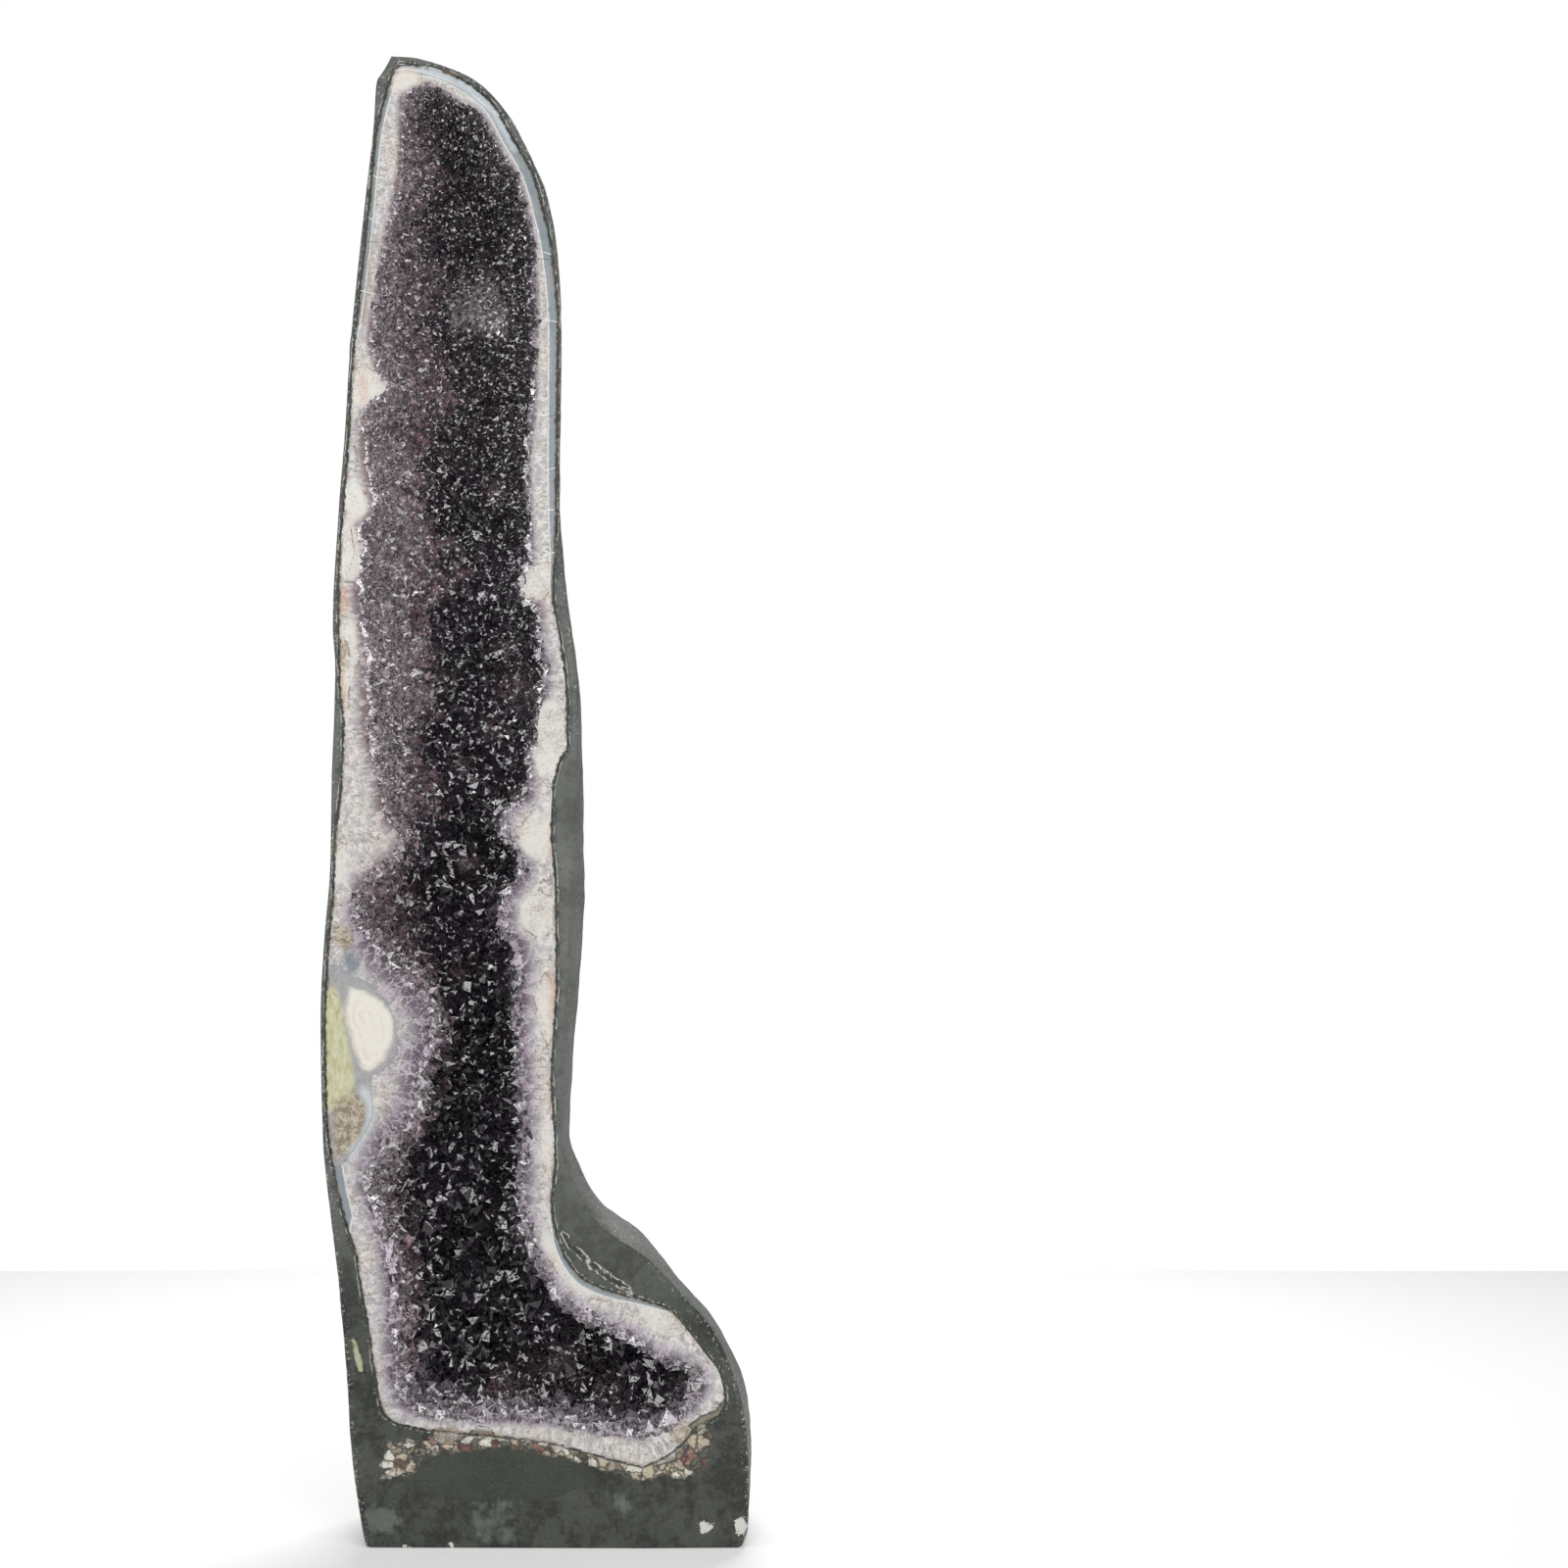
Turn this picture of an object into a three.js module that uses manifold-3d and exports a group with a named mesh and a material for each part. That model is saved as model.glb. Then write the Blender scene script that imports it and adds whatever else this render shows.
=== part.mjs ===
// A tall amethyst cathedral: a long geode, sawn open lengthwise and stood on end.
// Three pieces fit inside each other like troughs that open to the front:
// a mortar jacket with its foot, the agate rind of the geode, and the crust of amethyst in its hollow.
// Millimetres, +Z up. The sawn face looks along -Y. The origin is the middle of the footprint, on the floor.

import * as THREE from "three";
import { mergeVertices } from "three/addons/utils/BufferGeometryUtils.js";
import Module from "manifold-3d";

const wasm = await Module();
wasm.setup();

// Driving dimensions.
const DEPTH = 216;             // front to back at the foot
const FRONT = -DEPTH / 2;      // where the saw cut lies
const GAP = 0.5;               // between pieces that touch
const PROUD = 12;              // how far a cutting form runs out past the saw cut
const FOOT_BEVEL = 5;          // worn lower edge of the foot
const CRUST_WALL = 5;          // the crust's own thickness, under its crystal points
const BAY_REACH = 12;          // how far up and down a bay in the crust's back is bridged
const CRYSTAL_HEIGHT = 15;     // middling crystal near the foot, base to tip
const CRYSTAL_HEIGHT_TOP = 9;  // the same near the top
const CRYSTAL_LEAN = 5;        // how far a tip may lie to one side
const SAWN_SHARE = 0.4;        // height left of the crystals that the saw cut through
const WALL_SWELL = 4;          // slow rise and fall of the hollow's wall
const LUMP_HEIGHT = 5;         // trowelled lumps on the back and sides of the jacket
const TOE_STARTS = 60;         // sideways place where the hollow's toe begins to close
const TOE_ENDS = 125;          // sideways place where it has closed
const TOE_CRYSTALS = 0.2;      // height left of the crystals at the toe's tip

// How many columns of points go round each form, and how many rows go up it.
const BODY_NET = [16, 34];
const RIND_NET = [12, 40];
const CRUST_NET = [10, 40];
const CRYSTAL_NET = [18, 104];

// Outlines on the saw cut: [height, sideways place], from the bottom up.
const BODY = {
  left: [
    [0, -138], [16, -141], [80, -150], [144, -154], [208, -159], [272, -167], [336, -173], [432, -175],
    [496, -172], [560, -167], [624, -166], [720, -163], [752, -165], [848, -160], [912, -155], [976, -151],
    [1040, -145], [1104, -138], [1168, -131], [1189, -130], [1198, -129], [1206, -124], [1218, -117],
  ],
  right: [
    [0, 169], [16, 174], [64, 175], [112, 171], [144, 162], [176, 147], [208, 120], [240, 92], [256, 70],
    [272, 54], [304, 38], [336, 28], [368, 28], [464, 35], [560, 38], [624, 41], [656, 39], [720, 34],
    [784, 26], [848, 20], [976, 22], [1040, 20], [1072, 17], [1104, 10], [1136, -3], [1168, -20],
    [1184, -32], [1200, -50], [1207, -64], [1212, -78], [1217, -98], [1218, -117],
  ],
  depth: [[0, DEPTH], [90, 214], [200, 198], [330, 184], [600, 168], [850, 152], [1040, 136], [1218, 120]],
  roofRound: 150,
  squareness: [[0, 5], [120, 4], [300, 2.9], [1218, 2.6]],
};

const RIND = {
  left: [
    [66, 89], [68, 79], [79, 38], [86, 10], [92, -40], [97, -90], [103, -115], [112, -124], [144, -131],
    [176, -135],
    [208, -141], [240, -146], [272, -156], [304, -163], [344, -169], [424, -171], [480, -169], [544, -164],
    [576, -163], [624, -158], [672, -156], [704, -159], [784, -160], [840, -157], [904, -152], [960, -149],
    [1032, -142], [1088, -136], [1156, -129], [1174, -125], [1189, -121], [1202, -117], [1212, -110],
  ],
  right: [
    [66, 89], [74, 106], [83, 118], [101, 135], [108, 150], [120, 156], [142, 152], [162, 138], [184, 121],
    [194, 112], [204, 85], [211, 58], [221, 38], [242, 23], [262, 17], [280, 14], [320, 17], [384, 14],
    [464, 18], [544, 17], [584, 14], [616, 15], [644, 21], [652, 27], [704, 26], [736, 22], [784, 15],
    [816, 17], [912, 18], [1000, 19], [1032, 17], [1064, 13], [1088, 8], [1120, -1], [1155, -20], [1178, -33],
    [1193, -50], [1204, -69], [1209, -84], [1212, -110],
  ],
  depth: [[66, 150], [330, 158], [600, 150], [850, 136], [1040, 122], [1212, 108]],
  floorRound: 70,
  roofRound: 130,
  squareness: [[66, 2.5], [1212, 2.4]],
};

const HOLLOW = {
  left: [
    [92, 86], [97, 60], [101, 38], [107, 10], [110, -70], [113, -91], [124, -107], [144, -113], [192, -114],
    [240, -118], [272, -127], [300, -135], [324, -123], [344, -106], [364, -95], [392, -93], [416, -83],
    [436, -83], [456, -99], [476, -115], [500, -135], [520, -148], [544, -138], [566, -112], [580, -106],
    [600, -120], [640, -127], [672, -135], [736, -136], [784, -142], [816, -139], [835, -141], [845, -129],
    [880, -134], [912, -138], [932, -136], [945, -121], [966, -128], [984, -133], [1032, -127], [1064, -122],
    [1088, -117], [1133, -109], [1181, -108], [1189, -104], [1194, -88],
  ],
  right: [
    [92, 86], [99, 97], [106, 115], [117, 126], [133, 134], [139, 134], [149, 119], [155, 101], [170, 80],
    [186, 46], [196, 26], [218, 10], [235, 1], [264, -7], [280, -11], [344, -10], [424, -14], [472, -13],
    [488, -14], [508, -26], [528, -26], [553, -11], [566, -13], [584, -26], [596, -28], [617, -7], [640, -6],
    [672, 1], [720, 7], [744, 2], [766, 1], [781, -14], [798, -8], [816, -3], [848, -5], [880, -6], [944, -1],
    [1024, 0], [1064, -2], [1092, -7], [1120, -15], [1136, -26], [1156, -36], [1174, -49], [1181, -65],
    [1190, -77], [1194, -88],
  ],
  depth: [[92, 122], [330, 132], [600, 126], [850, 112], [1040, 98], [1194, 84]],
  floorRound: 62,
  roofRound: 110,
  squareness: [[92, 2.5], [1194, 2.4]],
};

// Places where the crust stands up in a mound: sideways place, height, radius, rise.
const MOUNDS = [
  [-30, 1008, 34, 15], [-20, 900, 26, 9], [-95, 940, 30, 7], [-70, 780, 32, 8], [-105, 690, 34, 8],
  [-45, 610, 34, 9], [-100, 560, 30, 10], [-40, 470, 34, 8], [-85, 330, 36, 9], [-20, 250, 34, 8],
  [-70, 160, 40, 9], [40, 150, 36, 8],
];

// A smooth line through hand-picked points that never swings past them: cubic, with the slope at each
// point the harmonic mean of the slopes on its two sides, and flat where those differ in sign.
function follow(points, at) {
  const last = points.length - 1;
  const held = THREE.MathUtils.clamp(at, points[0][0], points[last][0]);
  let k = 0;
  while (k < last - 1 && held > points[k + 1][0]) k += 1;
  const rise = (n) => (points[n + 1][1] - points[n][1]) / (points[n + 1][0] - points[n][0]);
  const slope = (n) => {
    if (n === 0) return rise(0);
    if (n === last) return rise(last - 1);
    const before = rise(n - 1);
    const after = rise(n);
    return before * after <= 0 ? 0 : (2 * before * after) / (before + after);
  };
  const span = points[k + 1][0] - points[k][0];
  const t = (held - points[k][0]) / span;
  const u = 1 - t;
  return (1 + 2 * t) * u * u * points[k][1] + t * u * u * span * slope(k)
    + t * t * (3 - 2 * t) * points[k + 1][1] - t * t * u * span * slope(k + 1);
}

// A quarter circle from 0 to 1, for an end that closes like a bowl.
function bowl(t) {
  const held = THREE.MathUtils.clamp(t, 0, 1);
  return Math.sqrt(1 - (1 - held) ** 2);
}

function depthAt(form, height) {
  const [low, high] = ends(form);
  const floor = form.floorRound ? bowl((height - low) / form.floorRound) : 1;
  const roof = bowl((high - height) / form.roofRound);
  return follow(form.depth, height) * floor * roof;
}

function ends(form) {
  return [form.left[0][0], form.left.at(-1)[0]];
}

// The point a share of the way round the back of a form, from its left edge to its right one.
// Each level is half of a superellipse: the outline gives its width and the depth its reach.
function wallPoint(form, share, height) {
  const left = follow(form.left, height);
  const right = follow(form.right, height);
  const power = 2 / follow(form.squareness, height);
  const angle = Math.PI * share;
  const across = Math.sign(Math.cos(angle)) * Math.abs(Math.cos(angle)) ** power;
  const back = Math.max(Math.sin(angle), 0) ** power;
  return new THREE.Vector3(
    (left + right) / 2 - ((right - left) / 2) * across,
    FRONT + depthAt(form, height) * back,
    height,
  );
}

// Heights that lie evenly along the way that the outline and the depth take together,
// so that a floor or a roof gets as many levels as a wall of the same length.
function levels(form, count) {
  const [low, high] = ends(form);
  const fine = 2000;
  const path = [0];
  const sample = (n) => {
    const height = low + ((high - low) * n) / fine;
    return [height, depthAt(form, height), follow(form.left, height) / 2, follow(form.right, height) / 2];
  };
  let before = sample(0);
  for (let n = 1; n <= fine; n += 1) {
    const now = sample(n);
    path.push(path[n - 1] + Math.hypot(...now.map((value, k) => value - before[k])));
    before = now;
  }
  const heights = [];
  let n = 0;
  for (let k = 0; k <= count; k += 1) {
    const wanted = (path[fine] * k) / count;
    while (n < fine && path[n] < wanted) n += 1;
    heights.push(low + ((high - low) * n) / fine);
  }
  return heights;
}

// The form a margin outside another one on every side, with its small bays bridged.
function outside(form, margin) {
  const bridged = (side, sign) => side.map(([height, place], n) => {
    if (n === 0) return [height - margin, place];
    if (n === side.length - 1) return [height + margin, place];
    let furthest = -Infinity;
    for (let shift = -BAY_REACH; shift <= BAY_REACH; shift += 1) {
      furthest = Math.max(furthest, sign * follow(side, height + shift));
    }
    return [height, sign * (furthest + margin)];
  });
  return {
    ...form,
    left: bridged(form.left, -1),
    right: bridged(form.right, 1),
    depth: form.depth.map(([height, depth]) => [height, depth + margin]),
  };
}

// A repeatable number from 0 to 1 for each whole-number place.
function chance(a, b, c = 0) {
  const wave = Math.sin(a * 12.9898 + b * 78.233 + c * 37.719) * 43758.5453;
  return wave - Math.floor(wave);
}

// The wall of a form as rows of points. Odd rows may start half a step on, as courses of bricks do.
function wall(form, columns, rows, staggered = false) {
  return levels(form, rows).map((height, j) => Array.from({ length: columns + 1 }, (_, i) => {
    const shift = staggered && j % 2 ? 0.5 : 0;
    return wallPoint(form, Math.min((i + shift) / columns, 1), height);
  }));
}

// The outward direction at each point of a wall, square to the lines through its neighbours.
function outward(grid) {
  const top = grid.length - 1;
  return grid.map((row, j) => row.map((point, i) => {
    if (j === 0) return new THREE.Vector3(0, 0, -1);
    if (j === top) return new THREE.Vector3(0, 0, 1);
    const up = grid[j + 1][i].clone().sub(grid[j - 1][i]);
    const along = row[Math.min(i + 1, row.length - 1)].clone().sub(row[Math.max(i - 1, 0)]);
    return up.cross(along).normalize();
  }));
}

// A wall moved along its outward directions by an amount given for each point.
function moved(grid, amount) {
  const directions = outward(grid);
  return grid.map((row, j) => row.map(
    (point, i) => point.clone().addScaledVector(directions[j][i], amount(point, i, j)),
  ));
}

// Closes a stack of loops into one geometry, with a skin between each loop and the next.
// The cut across each four-cornered cell swaps from row to row where the rows are staggered.
function skin(loops, staggered = false) {
  const size = loops[0].length;
  const index = [];
  for (let j = 0; j < loops.length - 1; j += 1) {
    for (let i = 0; i < size; i += 1) {
      const next = (i + 1) % size;
      const [a, b] = [j * size + i, j * size + next];
      const [c, d] = [a + size, b + size];
      if (staggered && j % 2) index.push(a, c, d, a, d, b);
      else index.push(a, c, b, b, c, d);
    }
  }
  const geometry = new THREE.BufferGeometry();
  const places = loops.flat().flatMap((point) => point.toArray());
  geometry.setAttribute("position", new THREE.Float32BufferAttribute(places, 3));
  geometry.setIndex(index);
  return geometry;
}

// A wall closed at the front by a strip that stands proud of the saw cut.
function trough(grid, staggered = false) {
  const atFront = (point) => new THREE.Vector3(point.x, FRONT - PROUD, point.z);
  return skin(grid.map((row) => [atFront(row[0]), ...row, atFront(row.at(-1))]), staggered);
}

function solid(geometry) {
  const merged = mergeVertices(geometry, 1e-4);
  const index = merged.index.array;
  const kept = [];
  for (let n = 0; n < index.length; n += 3) {
    const [a, b, c] = index.subarray(n, n + 3);
    if (a !== b && b !== c && c !== a) kept.push(a, b, c);
  }
  return new wasm.Manifold(new wasm.Mesh({
    numProp: 3,
    vertProperties: new Float32Array(merged.attributes.position.array),
    triVerts: new Uint32Array(kept),
  }));
}

function plainBox(width, depth, height, x, y, z) {
  const geometry = new THREE.BoxGeometry(width, depth, height).translate(x, y, z);
  geometry.deleteAttribute("normal");
  geometry.deleteAttribute("uv");
  return solid(geometry);
}

// Everything that lies in front of the saw cut.
function waste() {
  const far = 2000;
  return plainBox(far, far, 2 * far, 0, FRONT - far / 2, 0);
}

function piece(name, shape, finish) {
  const { vertProperties, triVerts } = shape.getMesh();
  const geometry = new THREE.BufferGeometry();
  geometry.setAttribute("position", new THREE.Float32BufferAttribute(vertProperties, 3));
  geometry.setIndex(Array.from(triVerts));
  geometry.computeVertexNormals();
  const mesh = new THREE.Mesh(geometry, new THREE.MeshStandardMaterial(finish));
  mesh.name = name;
  return mesh;
}

// The outside of the whole thing: a tall column, rounded at the back, that spreads into a blocky foot.
function bodySolid() {
  const [columns, rows] = BODY_NET;
  const lumps = (point, i, j) => {
    const waves = Math.sin(point.z / 41 + point.x / 30) * Math.sin(point.z / 67 - point.x / 24 + 1);
    const behind = Math.min(i, columns - i, 4) / 4;
    const inside = Math.min(j, rows - j, 4) / 4;
    return LUMP_HEIGHT * behind * inside * waves;
  };
  const rings = moved(wall(BODY, columns, rows), lumps);
  const base = rings[0];
  const middle = new THREE.Vector3((base[0].x + base.at(-1).x) / 2, FRONT + DEPTH / 2, 0);
  const bevelled = base.map((point) => {
    const inwards = middle.clone().sub(point).normalize();
    return point.clone().addScaledVector(inwards, FOOT_BEVEL);
  });
  const lifted = base.map((point) => point.clone().setZ(FOOT_BEVEL));
  return solid(skin([base.map(() => middle), bevelled, lifted, ...rings.slice(1)]));
}

const RIND_GRID = wall(RIND, ...RIND_NET);
const CRUST_GRID = wall(outside(HOLLOW, CRUST_WALL), ...CRUST_NET);

function jacketSolid() {
  return bodySolid().subtract(solid(trough(moved(RIND_GRID, () => GAP))));
}

function rindSolid() {
  const bed = solid(trough(moved(CRUST_GRID, () => GAP)));
  return solid(trough(RIND_GRID)).subtract(bed).subtract(waste());
}

// How far the mounds and the slow swell lift the wall at a place.
function swell(point) {
  const waves = Math.sin(point.z / 31 + point.x / 23) * Math.sin(point.z / 47 - point.y / 19);
  return MOUNDS.reduce((sum, [x, z, radius, rise]) => {
    const near = Math.hypot(point.x - x, point.z - z) / radius;
    return sum + rise * Math.exp(-2 * near * near);
  }, WALL_SWELL * (0.5 + 0.5 * waves));
}

// The air in the hollow. Its wall is a honeycomb: in every third place a crystal tip stands up from the
// six places around it, which makes six flat faces, as on the end of a quartz crystal.
function airSolid() {
  const [columns, rows] = CRYSTAL_NET;
  const [low, high] = ends(HOLLOW);
  const isTip = (i, j) => (i - Math.floor(j / 2) - j) % 3 === 0;
  const room = (point, i, j) => {
    const fromEnd = Math.min(j / 4, (rows - j) / 4, 1);
    const fromSaw = i % columns === 0 ? SAWN_SHARE : 1;
    const inToe = THREE.MathUtils.smoothstep(point.x, TOE_STARTS, TOE_ENDS);
    return fromEnd * fromSaw * THREE.MathUtils.lerp(1, TOE_CRYSTALS, inToe);
  };
  const lift = (point, i, j) => {
    const tall = THREE.MathUtils.mapLinear(point.z, low, high, CRYSTAL_HEIGHT, CRYSTAL_HEIGHT_TOP);
    const share = isTip(i, j) ? 0.6 + 0.8 * chance(i, j) : 0.25 * chance(i, j, 1);
    const inside = Math.min(i, columns - i, 2) / 2;
    return -room(point, i, j) * (inside * swell(point) + tall * share);
  };
  const lean = (i, j, axis) => CRYSTAL_LEAN * (2 * chance(i, j, axis) - 1);
  const grid = moved(wall(HOLLOW, columns, rows, true), lift);
  const leaning = grid.map((row, j) => row.map((point, i) => {
    if (!isTip(i, j)) return point;
    const aside = new THREE.Vector3(lean(i, j, 2), lean(i, j, 3), lean(i, j, 4));
    return point.addScaledVector(aside, room(point, i, j));
  }));
  return solid(trough(leaning, true));
}

function crustSolid() {
  return solid(trough(CRUST_GRID)).subtract(waste()).subtract(airSolid());
}

const geode = new THREE.Group();
geode.add(
  piece("cement_jacket", jacketSolid(), { color: 0x4b4f49, roughness: 0.8, metalness: 0 }),
  piece("agate_rind", rindSolid(), { color: 0xd9d8d6, roughness: 0.25, metalness: 0 }),
  piece("amethyst_crust", crustSolid(), { color: 0x4a3348, roughness: 0.15, metalness: 0 }),
);

export default geode;
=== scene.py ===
# %% [markdown]
# # A tall amethyst cathedral
# The real object is a long hollow geode that was sawn open lengthwise, polished on the cut and stood on
# end in mortar. Its looks come from four things: the painted mortar, the banded agate rim, the crystals
# that fill the hollow, and the light that the crystals catch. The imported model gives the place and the
# size of each of them, so it is loaded first and nothing is fitted afterwards.

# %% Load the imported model
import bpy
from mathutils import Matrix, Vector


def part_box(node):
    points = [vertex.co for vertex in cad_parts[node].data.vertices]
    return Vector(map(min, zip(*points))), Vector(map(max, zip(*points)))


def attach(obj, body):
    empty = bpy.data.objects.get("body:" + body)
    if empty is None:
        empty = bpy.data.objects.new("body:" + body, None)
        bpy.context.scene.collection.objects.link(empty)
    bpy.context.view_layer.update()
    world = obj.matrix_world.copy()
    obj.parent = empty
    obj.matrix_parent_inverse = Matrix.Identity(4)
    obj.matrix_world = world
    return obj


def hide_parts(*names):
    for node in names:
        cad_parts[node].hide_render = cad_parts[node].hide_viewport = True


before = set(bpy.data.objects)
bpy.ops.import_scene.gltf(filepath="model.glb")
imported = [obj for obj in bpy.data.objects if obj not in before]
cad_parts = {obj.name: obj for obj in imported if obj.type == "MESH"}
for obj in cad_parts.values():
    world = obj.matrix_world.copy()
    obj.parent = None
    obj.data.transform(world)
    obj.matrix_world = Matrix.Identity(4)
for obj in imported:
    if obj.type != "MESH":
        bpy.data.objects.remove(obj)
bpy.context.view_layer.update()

# %% Libraries, and the unit of this lesson
import math

import bpy
import numpy as np
from mathutils import Vector

MM = 0.001
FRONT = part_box("cement_jacket")[0].y / MM
print("the saw cut lies at y =", round(FRONT, 2), "mm")

# %% [markdown]
# ## The photograph's frame
# The photograph is taken level and from far away. A pixel of it is 0.8 mm on the saw cut, the model's axis
# is at pixel 545.5 across, and the floor under the cut is at pixel 1580 down. The camera uses these
# numbers, and so do the colours deep in the hollow, because what lies behind the cut looks shifted towards
# the picture's middle.

# %% Scale, axis, distance and sides
PIXEL = 0.8
PHOTO = 1600
AXIS_PIXEL = (545.5, 1580.0)
FAR = 3.0
SIDES = ("left", "right")

# %% [markdown]
# ## Outlines
# A cathedral is a trough: at each height its section is half of a superellipse that opens to the front.
# Two outlines on the saw cut give its width and one line gives its depth. Each is a list of a few
# points, [height, place] in millimetres, joined by a smooth line. A spline could do the same, but it
# would swing past its points at the lumps of the rim, so the slopes are limited here.


# %% A smooth line through given points
def follow(points, at):
    """A cubic on each stretch. The slope at a point is the harmonic mean of the straight slopes before
    and after it, or flat where their signs differ, so the line never swings past its points."""
    places, values = np.array(points, float).T
    at = np.clip(at, places[0], places[-1])
    spans = np.diff(places)
    rises = np.diff(values) / spans
    before, after = rises[:-1], rises[1:]
    agree = before * after > 0
    mean = 2 * before * after / np.where(agree, before + after, 1)
    slopes = np.concatenate([rises[:1], np.where(agree, mean, 0), rises[-1:]])
    k = np.clip(np.searchsorted(places, at, side="right") - 1, 0, len(spans) - 1)
    t = (at - places[k]) / spans[k]
    u = 1 - t
    return ((1 + 2 * t) * u * u * values[k] + t * u * u * spans[k] * slopes[k]
            + t * t * (3 - 2 * t) * values[k + 1] - t * t * u * spans[k] * slopes[k + 1])


print("half way from 0 to 10:", follow([(0, 0), (1, 10)], 0.5))


# %% Three small helpers
def smoothstep(low, high, value):
    """0 below low and 1 above high, with a smooth rise between them."""
    t = np.clip((value - low) / (high - low), 0, 1)
    return t * t * (3 - 2 * t)


def way_along(line):
    """The way along a line of points, from its start to each of them."""
    return np.cumsum(np.pad(np.linalg.norm(np.diff(line, axis=0), axis=1), (1, 0)))


def unit(vectors):
    """Vectors of the same direction and of length 1."""
    return vectors / np.maximum(np.linalg.norm(vectors, axis=-1, keepdims=True), 1e-9)


print("way along three points:", way_along(np.array([[0, 0], [3, 4], [3, 5]])))

# %% The outside of the mortar
BODY = {
    "left": [
        (0, -138), (16, -141), (80, -150), (144, -154), (208, -159), (272, -167), (336, -173), (432, -175),
        (496, -172), (560, -167), (624, -166), (720, -163), (752, -165), (848, -160), (912, -155),
        (976, -151), (1040, -145), (1104, -138), (1168, -131), (1189, -130), (1198, -129), (1206, -124),
        (1218, -117),
    ],
    "right": [
        (0, 169), (16, 174), (64, 175), (112, 171), (144, 162), (176, 147), (208, 120), (240, 92),
        (256, 70), (272, 54), (304, 38), (336, 28), (368, 28), (464, 35), (560, 38), (624, 41), (656, 39),
        (720, 34), (784, 26), (848, 20), (976, 22), (1040, 20), (1072, 17), (1104, 10), (1136, -3),
        (1168, -20), (1184, -32), (1200, -50), (1207, -64), (1212, -78), (1217, -98), (1218, -117),
    ],
    "depth": [(0, 216), (90, 214), (200, 198), (330, 184), (600, 168), (850, 152), (1040, 136),
              (1218, 120)],
    "floor_round": 0,
    "roof_round": 150,
    "squareness": [(0, 5), (120, 4), (300, 2.9), (1218, 2.6)],
}

# %% The agate rind
RIND = {
    "left": [
        (66, 89), (68, 79), (79, 38), (86, 10), (92, -40), (97, -90), (103, -115), (112, -124),
        (144, -131), (176, -135), (208, -141), (240, -146), (272, -156), (304, -163), (344, -169),
        (424, -171), (480, -169), (544, -164), (576, -163), (624, -158), (672, -156), (704, -159),
        (784, -160), (840, -157), (904, -152), (960, -149), (1032, -142), (1088, -136), (1156, -129),
        (1174, -125), (1189, -121), (1202, -117), (1212, -110),
    ],
    "right": [
        (66, 89), (74, 106), (83, 118), (101, 135), (108, 150), (120, 156), (142, 152), (162, 138),
        (184, 121), (194, 112), (204, 85), (211, 58), (221, 38), (242, 23), (262, 17), (280, 14),
        (320, 17), (384, 14), (464, 18), (544, 17), (584, 14), (616, 15), (644, 21), (652, 27), (704, 26),
        (736, 22), (784, 15), (816, 17), (912, 18), (1000, 19), (1032, 17), (1064, 13), (1088, 8),
        (1120, -1), (1155, -20), (1178, -33), (1193, -50), (1204, -69), (1209, -84), (1212, -110),
    ],
    "depth": [(66, 150), (330, 158), (600, 150), (850, 136), (1040, 122), (1212, 108)],
    "floor_round": 70,
    "roof_round": 130,
    "squareness": [(66, 2.5), (1212, 2.4)],
}

# %% The hollow
HOLLOW = {
    "left": [
        (92, 86), (97, 60), (101, 38), (107, 10), (110, -70), (113, -91), (124, -107), (144, -113),
        (192, -114), (240, -118), (272, -127), (300, -135), (324, -123), (344, -106), (364, -95),
        (392, -93), (416, -83), (436, -83), (456, -99), (476, -115), (500, -135), (520, -148), (544, -138),
        (566, -112), (580, -106), (600, -120), (640, -127), (672, -135), (736, -136), (784, -142),
        (816, -139), (835, -141), (845, -129), (880, -134), (912, -138), (932, -136), (945, -121),
        (966, -128), (984, -133), (1032, -127), (1064, -122), (1088, -117), (1133, -109), (1181, -108),
        (1189, -104), (1194, -88),
    ],
    "right": [
        (92, 86), (99, 97), (106, 115), (117, 126), (133, 134), (139, 134), (149, 119), (155, 101),
        (170, 80), (186, 46), (196, 26), (218, 10), (235, 1), (264, -7), (280, -11), (344, -10),
        (424, -14), (472, -13), (488, -14), (508, -26), (528, -26), (553, -11), (566, -13), (584, -26),
        (596, -28), (617, -7), (640, -6), (672, 1), (720, 7), (744, 2), (766, 1), (781, -14), (798, -8),
        (816, -3), (848, -5), (880, -6), (944, -1), (1024, 0), (1064, -2), (1092, -7), (1120, -15),
        (1136, -26), (1156, -36), (1174, -49), (1181, -65), (1190, -77), (1194, -88),
    ],
    "depth": [(92, 122), (330, 132), (600, 126), (850, 112), (1040, 98), (1194, 84)],
    "floor_round": 62,
    "roof_round": 110,
    "squareness": [(92, 2.5), (1194, 2.4)],
}

# %% [markdown]
# ## From outlines to walls
# A wall is a surface of two parameters: the share of the way round the back, from the left edge at 0 to
# the right edge at 1, and the height. Whole arrays of both go in, and an array of points comes out.


# %% One point of a wall for each pair of parameters
def ends(form):
    """The lowest and the highest height of a form."""
    return form["left"][0][0], form["left"][-1][0]


def bowl(t):
    """A quarter circle from 0 to 1, for an end that closes like a bowl."""
    return np.sqrt(1 - (1 - np.clip(t, 0, 1)) ** 2)


def depth_at(form, height):
    """The depth line, drawn in to nothing at the roof, and at the floor where the form has one."""
    low, high = ends(form)
    floor = bowl((height - low) / form["floor_round"]) if form["floor_round"] else 1
    return follow(form["depth"], height) * floor * bowl((high - height) / form["roof_round"])


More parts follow.
